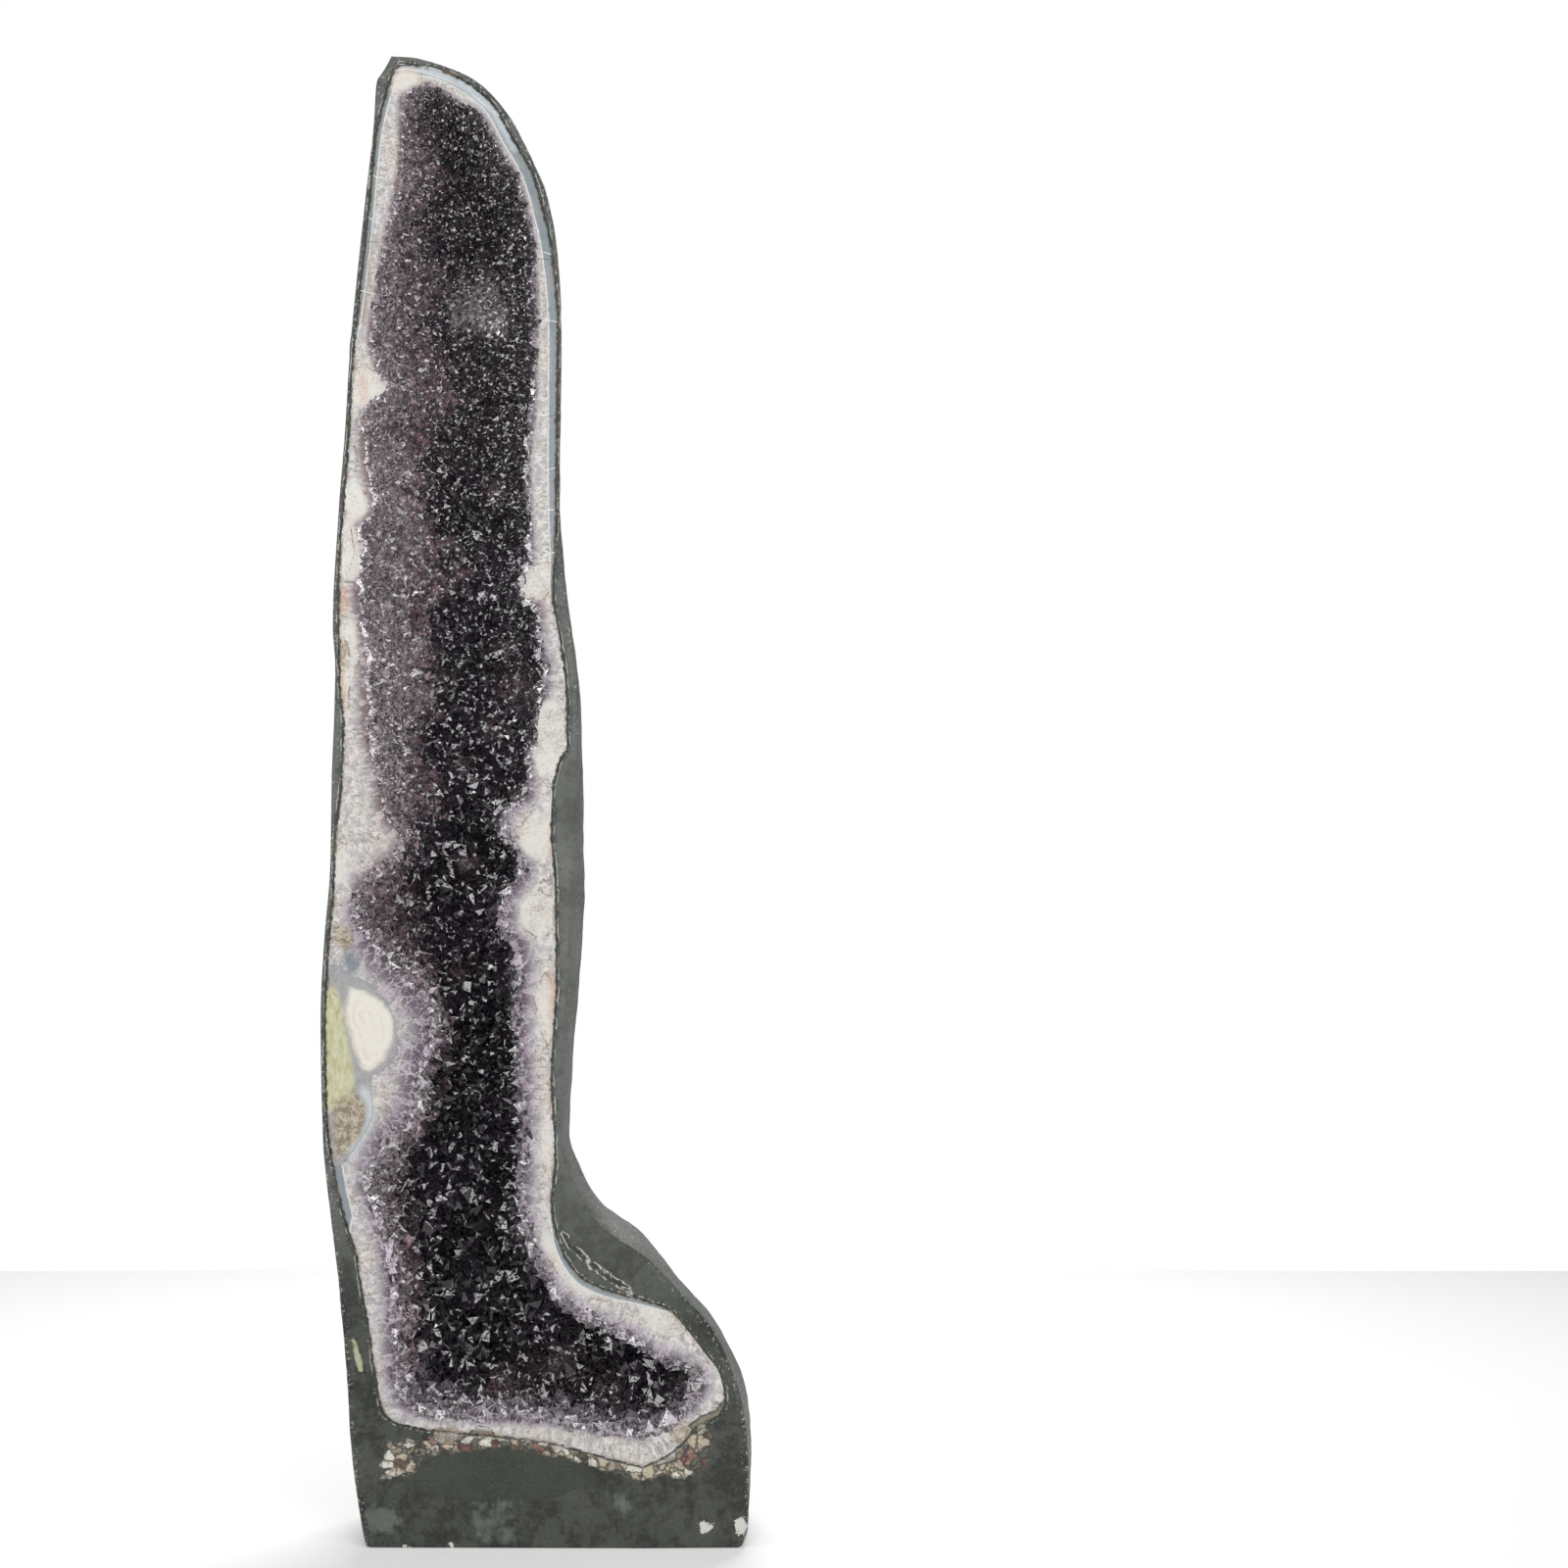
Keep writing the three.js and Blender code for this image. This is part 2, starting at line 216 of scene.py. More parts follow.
def wall(form, share, height):
    """Half a superellipse at each height. Across it runs the cosine of the angle, and backwards its sine,
    both raised to 2 / squareness and stretched to the width and the depth."""
    left, right = follow(form["left"], height), follow(form["right"], height)
    power = 2 / follow(form["squareness"], height)
    angle = np.pi * share
    across = np.sign(np.cos(angle)) * np.abs(np.cos(angle)) ** power
    back = np.clip(np.sin(angle), 0, None) ** power
    x = (left + right) / 2 - (right - left) / 2 * across
    y = FRONT + depth_at(form, height) * back
    return np.stack([x, y, height + 0 * x], axis=-1)


def levels(count, *forms):
    """Heights from the first form's floor to its top. They lie evenly along the way that the depths and
    outlines of all forms take together, so that a flat floor gets as many levels as a wall of its
    length."""
    fine = np.linspace(*ends(forms[0]), 8001)
    lines = [fine]
    for form in forms:
        lines.append(depth_at(form, fine) * (fine > ends(form)[0]))
        lines += [follow(form[side], fine) / 2 for side in SIDES]
    path = way_along(np.stack(lines).T)
    return np.interp(np.linspace(0, path[-1], count), path, fine)


print("deepest point of the hollow at 600 mm:", wall(HOLLOW, np.array(0.5), np.array(600.0)).round(1))

# %% [markdown]
# ## Chance that repeats
# Stone is never even, so the surfaces need random lumps that are the same on every run. Value noise does
# it: each whole-number place gets a fixed random number, and the places between are blended.


# %% Value noise
def lattice(cells, seed):
    """A number from 0 to 1 for each whole-number place, from mixing the bits of its three coordinates."""
    x, y, z = np.moveaxis(cells, -1, 0)
    mixed = x * 374761393 + y * 668265263 + z * 1274126177 + seed * 97531
    mixed = ((mixed ^ (mixed >> 13)) * 1103515245) & 0x7FFFFFFF
    return ((mixed ^ (mixed >> 16)) & 0xFFFFFF) / 0xFFFFFF


def noise(points, size, seed=0):
    """Smooth noise from -1 to 1 with lumps of the given size: the eight corners of the cell, blended."""
    scaled = np.asarray(points) / size + 1000
    cells = np.floor(scaled).astype(np.int64)
    t = scaled - cells
    t = t * t * (3 - 2 * t)
    total = 0
    for corner in np.ndindex(2, 2, 2):
        weight = np.prod(np.where(np.array(corner) == 1, t, 1 - t), axis=-1)
        total = total + weight * lattice(cells + np.array(corner), seed)
    return 2 * total - 1


def rough(points, size, octaves=3, seed=0):
    """Noise with finer and finer lumps added, each half as large and half as strong as the one before."""
    return sum(noise(points, size / 2 ** k, seed + k) / 2 ** k for k in range(octaves))


print("noise at three places:", noise(np.array([[0, 0, 0], [5, 0, 0], [0, 9, 2.5]]), 10).round(3))

# %% [markdown]
# ## Making a mesh from rings
# Mortar, rind and crust are all closed skins of stacked rings. A ring that has shrunk to a point closes an
# end. Points that fall together are welded, which leaves no thin or stray faces at the ends and along the
# seams.


# %% Rings to a welded mesh
def ring_faces(rows, columns):
    """Four corners of each cell between a ring and the next, with the last column joined to the first."""
    start = np.arange(rows - 1)[:, None] * columns
    here = np.arange(columns)[None, :]
    there = (here + 1) % columns
    cells = [start + here, start + columns + here, start + columns + there, start + there]
    return np.stack(cells, axis=-1).reshape(-1, 4)


def weld(points, faces, step=0.001):
    """Points nearer than a step share one place, and each face drops the corners that it then has
    twice."""
    keys = np.round(points / step).astype(np.int64)
    _, first, place = np.unique(keys, axis=0, return_index=True, return_inverse=True)
    faces = place.reshape(-1)[faces]
    keep = faces != np.roll(faces, 1, axis=1)
    whole = keep.sum(axis=1) >= 3
    return first, faces[whole], keep[whole]


def signed_volume(points, faces):
    """Six times the volume inside a closed skin: each face's corners spanned with the origin."""
    a, b, c, d = (points[faces[:, k]] for k in range(4))
    return np.sum(a * np.cross(b, c)) + np.sum(a * np.cross(c, d))


def new_piece(name, points, faces, keep, material, node_slot, smooth_angle=None):
    """A mesh object at the origin from points in millimetres. Each face lists four corners, and keep says
    which of them count, so a face can be a triangle."""
    if signed_volume(points, faces) < 0:
        faces, keep = faces[:, ::-1], keep[:, ::-1]
    mesh = bpy.data.meshes.new(name)
    mesh.vertices.add(len(points))
    mesh.vertices.foreach_set("co", (points * MM).astype(np.float32).ravel())
    corners = keep.sum(axis=1)
    mesh.loops.add(int(corners.sum()))
    mesh.loops.foreach_set("vertex_index", faces[keep].astype(np.int32))
    mesh.polygons.add(len(faces))
    mesh.polygons.foreach_set("loop_start", np.concatenate([[0], np.cumsum(corners)[:-1]]).astype(np.int32))
    mesh.update(calc_edges=True)
    if smooth_angle:
        mesh.shade_smooth()
        mesh.set_sharp_from_angle(angle=math.radians(smooth_angle))
    else:
        mesh.shade_flat()
    mesh.materials.append(material)
    piece = bpy.data.objects.new(name, mesh)
    bpy.context.scene.collection.objects.link(piece)
    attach(piece, "root")
    print(name, len(points), "points,", int((corners - 2).sum()), "triangles")
    return piece


def note(piece, domain="POINT", **fields):
    """Stores one number, or one colour, for each point, face or corner of a piece, for its material to
    read."""
    for name, values in fields.items():
        kind, entry = ("FLOAT", "value") if values.ndim == 1 else ("FLOAT_COLOR", "color")
        layer = piece.data.attributes.new(name, kind, domain)
        layer.data.foreach_set(entry, values.astype(np.float32).ravel())


# %% [markdown]
# ## Shader maths in words
# Node graphs are hard to read when each sum is a node. This small class wraps a socket, so that an
# expression such as 1 - mask * 0.5 adds its Math nodes by itself.


# %% A socket that can be used in sums
class Value:
    """A socket that gives a number. Sums and products of Values are Math nodes."""

    def __init__(self, finish, socket):
        self.finish = finish
        self.socket = socket

    def math(self, operation, *others):
        """A Math node with this number as its first one."""
        return self.finish.math(operation, self, *others)

    def __add__(self, other):
        return self.math("ADD", other)

    def __sub__(self, other):
        return self.math("SUBTRACT", other)

    def __rsub__(self, other):
        return self.finish.math("SUBTRACT", other, self)

    def __mul__(self, other):
        return self.math("MULTIPLY", other)

    def __truediv__(self, other):
        return self.math("DIVIDE", other)

    def __abs__(self):
        return self.math("ABSOLUTE")

    __radd__ = __add__
    __rmul__ = __mul__

    def held(self):
        """The number kept between 0 and 1."""
        return self.finish.node("ShaderNodeClamp", {}, Value=self)["Result"]


# %% A finish, and the one method that adds its nodes
class Finish:
    """A material in the making. node() takes a node's type, its settings, and the values or links of its
    sockets, and returns its outputs by name."""

    def __init__(self, name):
        self.material = bpy.data.materials.new(name)
        self.material.use_nodes = True
        self.tree = self.material.node_tree
        self.shader = self.tree.nodes["Principled BSDF"]

    def node(self, kind, settings, **inputs):
        made = self.tree.nodes.new(kind)
        for name, value in settings.items():
            setattr(made, name, value)
        for name, value in inputs.items():
            self.plug(self.socket(made, name), value)
        return {output.name: Value(self, output) for output in made.outputs if output.enabled}

    def socket(self, made, name):
        """The enabled input with that name, where _ stands for a space, or with that number, as in_0."""
        if name.startswith("in_"):
            return made.inputs[int(name[3:])]
        wanted = name.replace("_", " ")
        return next(entry for entry in made.inputs if entry.enabled and entry.name == wanted)

    def plug(self, socket, value):
        """Links a Value to an input, or sets the input to a constant."""
        if isinstance(value, Value):
            self.tree.links.new(value.socket, socket)
        else:
            socket.default_value = value

    def math(self, operation, *numbers):
        """A Math node of constants and Values."""
        inputs = {f"in_{k}": number for k, number in enumerate(numbers)}
        return self.node("ShaderNodeMath", {"operation": operation}, **inputs)["Value"]

    def set(self, **inputs):
        """Sets the inputs of the shader itself."""
        for name, value in inputs.items():
            self.plug(self.socket(self.shader, name), value)

    def place(self):
        """Where on the object a point lies, in metres."""
        return self.node("ShaderNodeTexCoord", {})["Object"]

    def stored(self, name, colour=False):
        """What note() stored under a name."""
        outputs = self.node("ShaderNodeAttribute", {"attribute_name": name})
        return outputs["Color"] if colour else outputs["Fac"]

    def vectors(self, operation, first, second):
        """A sum or product of two vectors."""
        settings = {"operation": operation}
        return self.node("ShaderNodeVectorMath", settings, in_0=first, in_1=second)["Vector"]

    def cells(self, feature, vector, scale=1.0):
        """Voronoi cells: a colour by chance for each, or the distance to the nearest edge between two."""
        return self.node("ShaderNodeTexVoronoi", {"feature": feature}, Vector=vector, Scale=scale)

    def split(self, colour):
        """The three channels of a colour."""
        return self.node("ShaderNodeSeparateColor", {}, Color=colour)

    def height(self):
        """How high a point lies on the object, in metres."""
        return self.node("ShaderNodeSeparateXYZ", {}, Vector=self.place())["Z"]

    def combined(self, x, y, z=0.0):
        """A vector from three numbers."""
        return self.node("ShaderNodeCombineXYZ", {}, X=x, Y=y, Z=z)["Vector"]

    def noise(self, size, detail=3.0, vector=None, roughness=0.55):
        """Smooth noise about 0.5 with lumps of the given size in metres."""
        vector = vector or self.place()
        return self.node("ShaderNodeTexNoise", {}, Vector=vector, Scale=1 / size, Detail=detail,
                         Roughness=roughness)["Fac"]

    def step(self, value, low, high):
        """0 below low and 1 above high, with a smooth rise between them."""
        settings = {"interpolation_type": "SMOOTHSTEP"}
        return self.node("ShaderNodeMapRange", settings, Value=value, From_Min=low, From_Max=high)["Result"]

    def fall(self, value, low, high):
        """1 below low and 0 above high."""
        return 1 - self.step(value, low, high)

    def mix(self, factor, first, second):
        """The first colour where the factor is 0, and the second where it is 1."""
        settings = {"data_type": "RGBA", "clamp_factor": True}
        return self.node("ShaderNodeMix", settings, in_0=factor, in_6=first, in_7=second)["Result"]

    def lay(self, mask, colour):
        """Mixes a colour over the tint that the finish has so far."""
        self.tint = self.mix(mask, self.tint, colour)

    def bump(self, height, depth, strength=1.0):
        """A normal as if the surface rose and fell by the depth, in metres."""
        return self.node("ShaderNodeBump", {}, Height=height, Distance=depth, Strength=strength)["Normal"]


def colour(red, green, blue):
    """A screen colour from 0 to 255, in the linear numbers that shaders use."""
    channels = np.array([red, green, blue]) / 255
    linear = np.where(channels <= 0.04045, channels / 12.92, ((channels + 0.055) / 1.055) ** 2.4)
    return (*linear.tolist(), 1.0)


print("mid grey in linear numbers:", [round(v, 3) for v in colour(128, 128, 128)])

# %% [markdown]
# ## Distances on the saw cut
# Bands, patches and cracks on the polished face all follow its edges. So each point of a face stores how
# far it lies from an edge or from a listed outline. Distances change evenly over a mesh, and a shader
# that compares them keeps a line sharp, even where the mesh is much coarser than the line.

# %% Distance to an edge, and along it
EDGE_LEVELS = 1300


def edge_line(form):
    """The whole edge of a form on the saw cut as (x, z): up its left side and down its right one."""
    heights = levels(EDGE_LEVELS, form)
    left, right = (np.stack([follow(form[side], heights), heights], axis=-1) for side in SIDES)
    return np.concatenate([left, right[::-1]])


def away_from(line, places, chunk=1000):
    """The distance from each place to the nearest point of a line, and the way along the line to
    there."""
    nearest = np.concatenate([
        ((places[k:k + chunk, None] - line) ** 2).sum(axis=-1).argmin(axis=1)
        for k in range(0, len(places), chunk)])
    return np.linalg.norm(places - line[nearest], axis=1), way_along(line)[nearest]


# %% Distance to listed outlines and lines
def near_stretches(starts, stops, places):
    """The distance from each place to the nearest of some straight stretches: square to a stretch, or
    from its end where the foot of the square falls past it."""
    along = stops - starts
    offset = places[:, None] - starts
    t = np.clip((offset * along).sum(axis=-1) / (along ** 2).sum(axis=-1), 0, 1)
    return np.linalg.norm(offset - t[..., None] * along, axis=-1).min(axis=1)


def near_line(corners, places):
    """The distance from each place to an open line through the corners."""
    corners = np.array(corners, float)
    return near_stretches(corners[:-1], corners[1:], places)


def inside_of(corners, places):
    """How far each place lies inside a closed outline, and negative outside it. A place is inside if a
    ray from it to the right crosses the outline an odd number of times."""
    starts = np.array(corners, float)
    stops = np.roll(starts, -1, axis=0)
    distance = near_stretches(starts, stops, places)
    x, z = places[:, :1], places[:, 1:]
    rise = stops[:, 1] - starts[:, 1]
    crosses = (starts[:, 1] > z) != (stops[:, 1] > z)
    meets = starts[:, 0] + (z - starts[:, 1]) * (stops[:, 0] - starts[:, 0]) / np.where(rise == 0, 1, rise)
    inside = (crosses & (x < meets)).sum(axis=1) % 2 == 1
    return np.where(inside, distance, -distance)


def fields_of(patches, lines, places):
    """By name, how far each place lies inside the best of some outlines, or from the nearest of some
    lines."""
    fields = {name: np.max([inside_of(corners, places) for corners in outlines], axis=0)
              for name, outlines in patches.items()}
    for name, paths in lines.items():
        fields[name] = np.min([near_line(corners, places) for corners in paths], axis=0)
    return fields


SQUARE = [(0, 0), (10, 0), (10, 10), (0, 10)]
print("inside a 10 mm square:", inside_of(SQUARE, np.array([[5.0, 5.0], [12.0, 5.0]])))


# %% Even steps round a wall, and the way it faces
def shares_round(form, heights, fractions):
    """The shares at which the way round the back has run to the given fractions of its length."""
    fine = (1 - np.cos(np.pi * np.linspace(0, 1, 301))) / 2
    points = wall(form, fine[None, :], heights[:, None])
    steps = np.linalg.norm(np.diff(points, axis=1), axis=2)
    way = np.cumsum(np.pad(steps, ((0, 0), (1, 0))), axis=1)
    way /= np.maximum(way[:, -1:], 1e-9)
    return np.stack([np.interp(fractions, row, fine) for row in way])


def even_wall(form, heights, fractions):
    """A wall with its columns at the given fractions of each level's length."""
    return wall(form, shares_round(form, heights, fractions), heights[:, None])


def facing(grid):
    """The outward direction at each point of a wall, square to the lines through its neighbours."""
    up = np.gradient(grid, axis=0)
    along = np.gradient(grid, axis=1)
    return unit(np.cross(up, along))


def trough_rings(outer, inner, strip):
    """Rings round a wall with a thickness: the outside from left to right, across the saw face on the
    right, back along the inside, and across the saw face on the left. The strip gives the fractions
    across."""
    strip = np.asarray(strip)[None, :, None]
    right = outer[:, -1:] + (inner[:, -1:] - outer[:, -1:]) * strip
    left = inner[:, :1] + (outer[:, :1] - inner[:, :1]) * (1 - strip[:, ::-1])
    return np.concatenate([outer, right, inner[:, ::-1], left], axis=1)


# %% [markdown]
# ## Mortar jacket
# The maker stands the sawn half on end, casts a foot of mortar round it, trowels the same mortar over the
# rough back and paints it grey-green. The jacket is one skin: the back and sides, the sawn front, and the
# bed of the rind inside. Lumps and trowel marks come from noise along the outward direction, because a
# plain bump would leave the outline too even.

# %% Sizes of the jacket
GAP = 0.5
FOOT_BEVEL = 5.0
WORN_EDGE = 3.0
LUMP_HEIGHT = 5.0
BODY_TOP = ends(BODY)[1]
FLARE = 7.0
FLARE_DEPTH = 25.0
TROWEL_MARKS = 1.4
TROWEL_GRAIN = 0.55
MIDDLE_OF_FOOT = np.array([15.0, FRONT + 108, 0])
SKIN_LEVELS = 340


def front_direction(form, side, heights):
    """The direction on the saw cut from an edge towards the middle, square to the edge."""
    slope = np.gradient(follow(form[side], heights), heights)
    sign = 1 if side == "left" else -1
    return unit(np.stack([sign + 0 * slope, 0 * slope, -sign * slope], axis=-1))


def margin_at(side, heights):
    """How wide the strip of mortar between its own edge and the rim is."""
    return np.abs(follow(BODY[side], heights) - follow(RIND[side], heights))


def on_each_side(fractions, left, right):
    """One row of values where a fraction is on the left, and the other one on the right."""
    return np.where(fractions < 0.5, left, right)


# %% The outside of the jacket
def mortar_outside(heights, fractions):
    """The wall of the body, pushed out and in by slow waves and by noise, with its front edge drawn in
    along a quarter circle. On the right it also flares behind the cut, and leans in a little above."""
    points = even_wall(BODY, heights, fractions)
    behind = points[..., 1] - FRONT
    from_front = np.minimum(fractions, 1 - fractions)
    x, z = points[..., 0], points[..., 2]
    inside = np.clip(np.minimum(z / 150, (BODY_TOP - z) / 110), 0, 1)
    waves = np.sin(z / 41 + x / 30) * np.sin(z / 67 - x / 24 + 1)
    lumps = LUMP_HEIGHT * np.clip(4 * from_front, 0, 1) * inside * waves
    trowel = TROWEL_MARKS * rough(points * [1, 1, 0.7], 46, 2, 3) + TROWEL_GRAIN * rough(points, 12, 3, 5)
    fade = smoothstep(0, 9, behind) * smoothstep(0, 40, z) * smoothstep(0, 60, BODY_TOP - z)
    points = points + facing(points) * (lumps + trowel * fade)[..., None]

    directions = (front_direction(BODY, side, heights)[:, None] for side in SIDES)
    inward = on_each_side(fractions[:, None], *directions)
    margin = on_each_side(fractions, *(margin_at(side, heights)[:, None] for side in SIDES))
    worn = np.minimum(WORN_EDGE * (1 + 0.6 * rough(points, 14, 2, 7)), 0.35 * margin)
    worn = worn * smoothstep(0, 4, BODY_TOP - z)
    t = np.clip(1 - behind / np.maximum(worn, 0.05), 0, 1)
    beside = (fractions > 0.5) * smoothstep(200, 300, z) * (1 - smoothstep(600, 720, z))
    flare = FLARE * beside * np.exp(-behind / FLARE_DEPTH)
    draft = 0.05 * np.clip(behind, 0, 60) * (fractions > 0.5) * smoothstep(600, 700, z)
    return points + inward * (worn * (1 - np.sqrt(1 - t * t)) + flare + draft)[..., None]


def foot_bevelled(points):
    """The lowest few millimetres drawn in towards the middle along a quarter circle with a worn
    radius."""
    towards = unit((MIDDLE_OF_FOOT - points) * [1, 1, 0])
    radius = FOOT_BEVEL * (0.75 + 0.35 * noise(points * [1, 1, 0], 23, 11))
    t = np.clip(1 - points[..., 2] / radius, 0, 1)
    return points + towards * (radius * (1 - np.sqrt(1 - t * t)))[..., None]


# %% What the jacket and the rim share
def with_top_of_rind(heights):
    """The heights, with the last few millimetres under the rind's top cut finely, because its edge is
    nearly level there and the two skins would part if they were sampled differently."""
    top = ends(RIND)[1]
    return np.unique(np.concatenate([heights[(heights < top - 6.2) | (heights > top + 0.2)],
                                     top - 6 * np.linspace(0, 1, 26) ** 1.5]))


def moved_to_top(grid, heights, form, around):
    """Above its own top a form's wall is a single line. It is moved over, step by step, to where the top
    of the form around it lies, so that the skin between the two closes without a fold."""
    (top, x), (last, last_x) = form["left"][-1], around["left"][-1]
    share = np.clip((heights - top) / (last - top), 0, 1)
    grid[..., 0] += (share * (last_x - x))[:, None]


# %% The rings of the jacket
def mortar_rings():
    """Rings from the outside, the sawn front and the bed of the rind, whose front edge laps raggedly over
    it."""
    above = with_top_of_rind(levels(SKIN_LEVELS, BODY, RIND))
    heights = np.concatenate([[0, 0.5, 1.4, 3.0], above[above > 4.5]])
    edge = np.array([0, 0.0015, 0.0035, 0.006, 0.01, 0.016])
    fractions = np.concatenate([edge, np.linspace(0.024, 0.976, 104), 1 - edge[::-1]])
    outside_wall = foot_bevelled(mortar_outside(heights, fractions))
    bed = even_wall(RIND, heights, np.linspace(0, 1, 17))
    low, high = ends(RIND)
    open_here = smoothstep(0, 8, np.minimum(heights - low, high - heights))
    bed = bed + facing(bed) * (GAP * open_here)[:, None, None]
    for column, side in ((0, "left"), (-1, "right")):
        ragged = 0.7 + 0.9 * rough(bed[:, column], 9, 3, 13)
        reach = np.clip(ragged, 0, 0.4 * margin_at(side, heights)) * open_here
        bed[:, column] += front_direction(RIND, side, heights) * reach[:, None]
        bed[:, column, 1] = FRONT - 0.3 * open_here
    moved_to_top(bed, heights, RIND, BODY)
    strip = np.array([0.01, 0.03, 0.07, 0.13, 0.2, 0.3, 0.4, 0.5, 0.6, 0.7, 0.8, 0.87, 0.93, 0.97, 0.99])
    rings = trough_rings(outside_wall, bed, strip)
    on_face = rings[..., 1] < FRONT + 0.01
    uneven = 0.35 * rough(rings * [1, 0, 1], 30, 3, 17)
    rings[..., 1] += np.where(on_face, np.abs(uneven) * smoothstep(0, 20, rings[..., 2]), 0)
    return np.concatenate([np.broadcast_to(MIDDLE_OF_FOOT, rings[:1].shape), rings])


def closed_skin(rings):
    """The welded points of a stack of rings, its faces, and which corners of them count."""
    points = rings.reshape(-1, 3)
    first, faces, keep = weld(points, ring_faces(*rings.shape[:2]))
    print("a skin from", points.min(axis=0).round(1), "to", points.max(axis=0).round(1))
    return points[first], faces, keep


jacket_skin = closed_skin(mortar_rings())

# %% [markdown]
# ## Agate rim
# Agate lines the bubble in the rock first, in thin bands from the outside inwards. Quartz then grows on
# it, and turns from milky to clear and violet. Sawn and polished, this is the pale rim. It is flat, so its
# bands, patches and cracks are colour, with no more than a faint bump.

# %% The line where the rim meets the crust
CRUST_WALL = 5.0
BAY_REACH = 12
RIM_LEVELS = 400


def outside(form, margin):
    """A form a margin outside another one on every side. Each point takes the furthest place within a
    short reach up and down, which bridges the small bays."""
    shifts = np.arange(-BAY_REACH, BAY_REACH + 1)

    def bridged(side, sign):
        heights, places = np.array(side, float).T
        furthest = (sign * follow(side, heights[:, None] + shifts)).max(axis=1) + margin
        moved = [(h, sign * f) for h, f in zip(heights, furthest)]
        moved[0] = (heights[0] - margin, places[0])
        moved[-1] = (heights[-1] + margin, places[-1])
        return moved

    deeper = [(height, depth + margin) for height, depth in form["depth"]]
    return {**form, "left": bridged(form["left"], -1), "right": bridged(form["right"], 1), "depth": deeper}


CRUST = outside(HOLLOW, CRUST_WALL)
print("the crust reaches from and to, mm up:", *ends(CRUST))


# %% The rings of the rim
def agate_rings():
    """Rings from the rind's outside, its sawn face and the bed of the crust."""
    heights = with_top_of_rind(levels(RIM_LEVELS, RIND, CRUST))
    outer = even_wall(RIND, heights, np.linspace(0, 1, 21))
    inner = even_wall(CRUST, heights, np.linspace(0, 1, 17))
    moved_to_top(inner, heights, CRUST, RIND)
    return trough_rings(outer, inner, np.linspace(0, 1, 22)[1:-1])


rim_skin = closed_skin(agate_rings())

# %% [markdown]
# ## Bed of the crystals
# Under the points lies a crust of grown-together quartz. It follows the hollow's wall with slow swells and
# a few mounds, and it is what shows between the crystals, darkened to half their tint as a painted shade.
# Its wall is kept as a grid, since the crystals are planted on it next.

# %% The swells of the hollow's wall
WALL_SWELL = 4.0
MOUNDS = [
    (-30, 1008, 34, 15), (-20, 900, 26, 9), (-95, 940, 30, 7), (-70, 780, 32, 8), (-105, 690, 34, 8),
    (-45, 610, 34, 9), (-100, 560, 30, 10), (-40, 470, 34, 8), (-85, 330, 36, 9), (-20, 250, 34, 8),
    (-70, 160, 40, 9), (40, 150, 36, 8),
]


def swell(points):
    """The slow rise and fall of the wall, a product of two sines, with a bell on top for each mound."""
    x, y, z = np.moveaxis(points, -1, 0)
    waves = np.sin(z / 31 + x / 23) * np.sin(z / 47 - y / 19)
    lift = WALL_SWELL * (0.5 + 0.5 * waves)
    for middle, height, radius, rise in MOUNDS:
        lift = lift + rise * np.exp(-2 * ((x - middle) ** 2 + (z - height) ** 2) / radius ** 2)
    return lift


# %% The wall of the bed as a grid
ROOT_REACH = [(92, 3.4), (500, 3.0), (900, 1.6), (1194, 1.0)]
BED_HEIGHTS = levels(SKIN_LEVELS, CRUST, HOLLOW)
BED_STEPS = np.linspace(0, 1, 97)


def bed_wall():
    """The wall of the hollow, moved outwards to where the crystals root and back inwards by the
    swells."""
    grid = even_wall(HOLLOW, BED_HEIGHTS, BED_STEPS)
    low, high = ends(HOLLOW)
    to_end = np.minimum(BED_HEIGHTS - low, high - BED_HEIGHTS)[:, None]
    ends_fade, open_here = smoothstep(0, 30, to_end), smoothstep(0, 4, to_end)
    saw_fade = smoothstep(0, 0.11, np.minimum(BED_STEPS, 1 - BED_STEPS))
    lift = ends_fade * saw_fade * swell(grid) - open_here * follow(ROOT_REACH, grid[..., 2])
    lift = lift + open_here * 0.5 * rough(grid, 7, 2, 29)
    ragged = rough(grid * [1, 0, 1], 8, 3, 31)
    room = CRUST_WALL - 0.8 - follow(ROOT_REACH, grid[..., 2])
    normals = facing(grid)
    upright = smoothstep(0.8, 0.98, np.abs(normals[:, [0, -1], 0]).min(axis=1))[:, None]
    lift = lift + open_here * (1 - saw_fade) * upright * np.maximum(3.6 * ragged, -room)
    normals[:, [0, -1], 1] = 0
    return grid - normals * lift[..., None]


BED = bed_wall()
print("bed grid", BED.shape, "deepest", BED[..., 1].max().round(1))


# %% The rings of the bed
def bed_rings():
    """Rings from the crust's outside, its narrow strip on the saw face and the wall of the bed."""
    outer = even_wall(CRUST, BED_HEIGHTS, np.linspace(0, 1, 17))
    outer = outer + facing(outer) * 0.3
    outer[:, [0, -1], 1] = FRONT + 0.05
    inner = BED.copy()
    inner[..., 1] = np.maximum(inner[..., 1], FRONT + 0.05)
    return trough_rings(outer, inner, [0.2, 0.4, 0.6, 0.8])


bed_skin = closed_skin(bed_rings())

# %% [markdown]
# ## Crystal points
# Each amethyst in a cathedral is the end of a six-sided prism with six flat faces that meet in a tip.
# Thousands crowd the wall, from 4 mm across at the top to 10 mm at the foot. They could be planted by
# Geometry Nodes, but whole arrays do it as well and keep the choice of size, lean and colour in one place.

# %% Planting places without crowding
SPACING = [(92, 11.4), (300, 10.4), (500, 8.8), (700, 6.7), (900, 5.1), (1194, 3.9)]
SMALL = 0.56
POINTS_EACH = 13
FACES_EACH = 14
BURIED = 0.25
SAW_UNEVEN = 0.35
SAW_PRESSED = 0.03
rng = np.random.default_rng(7)


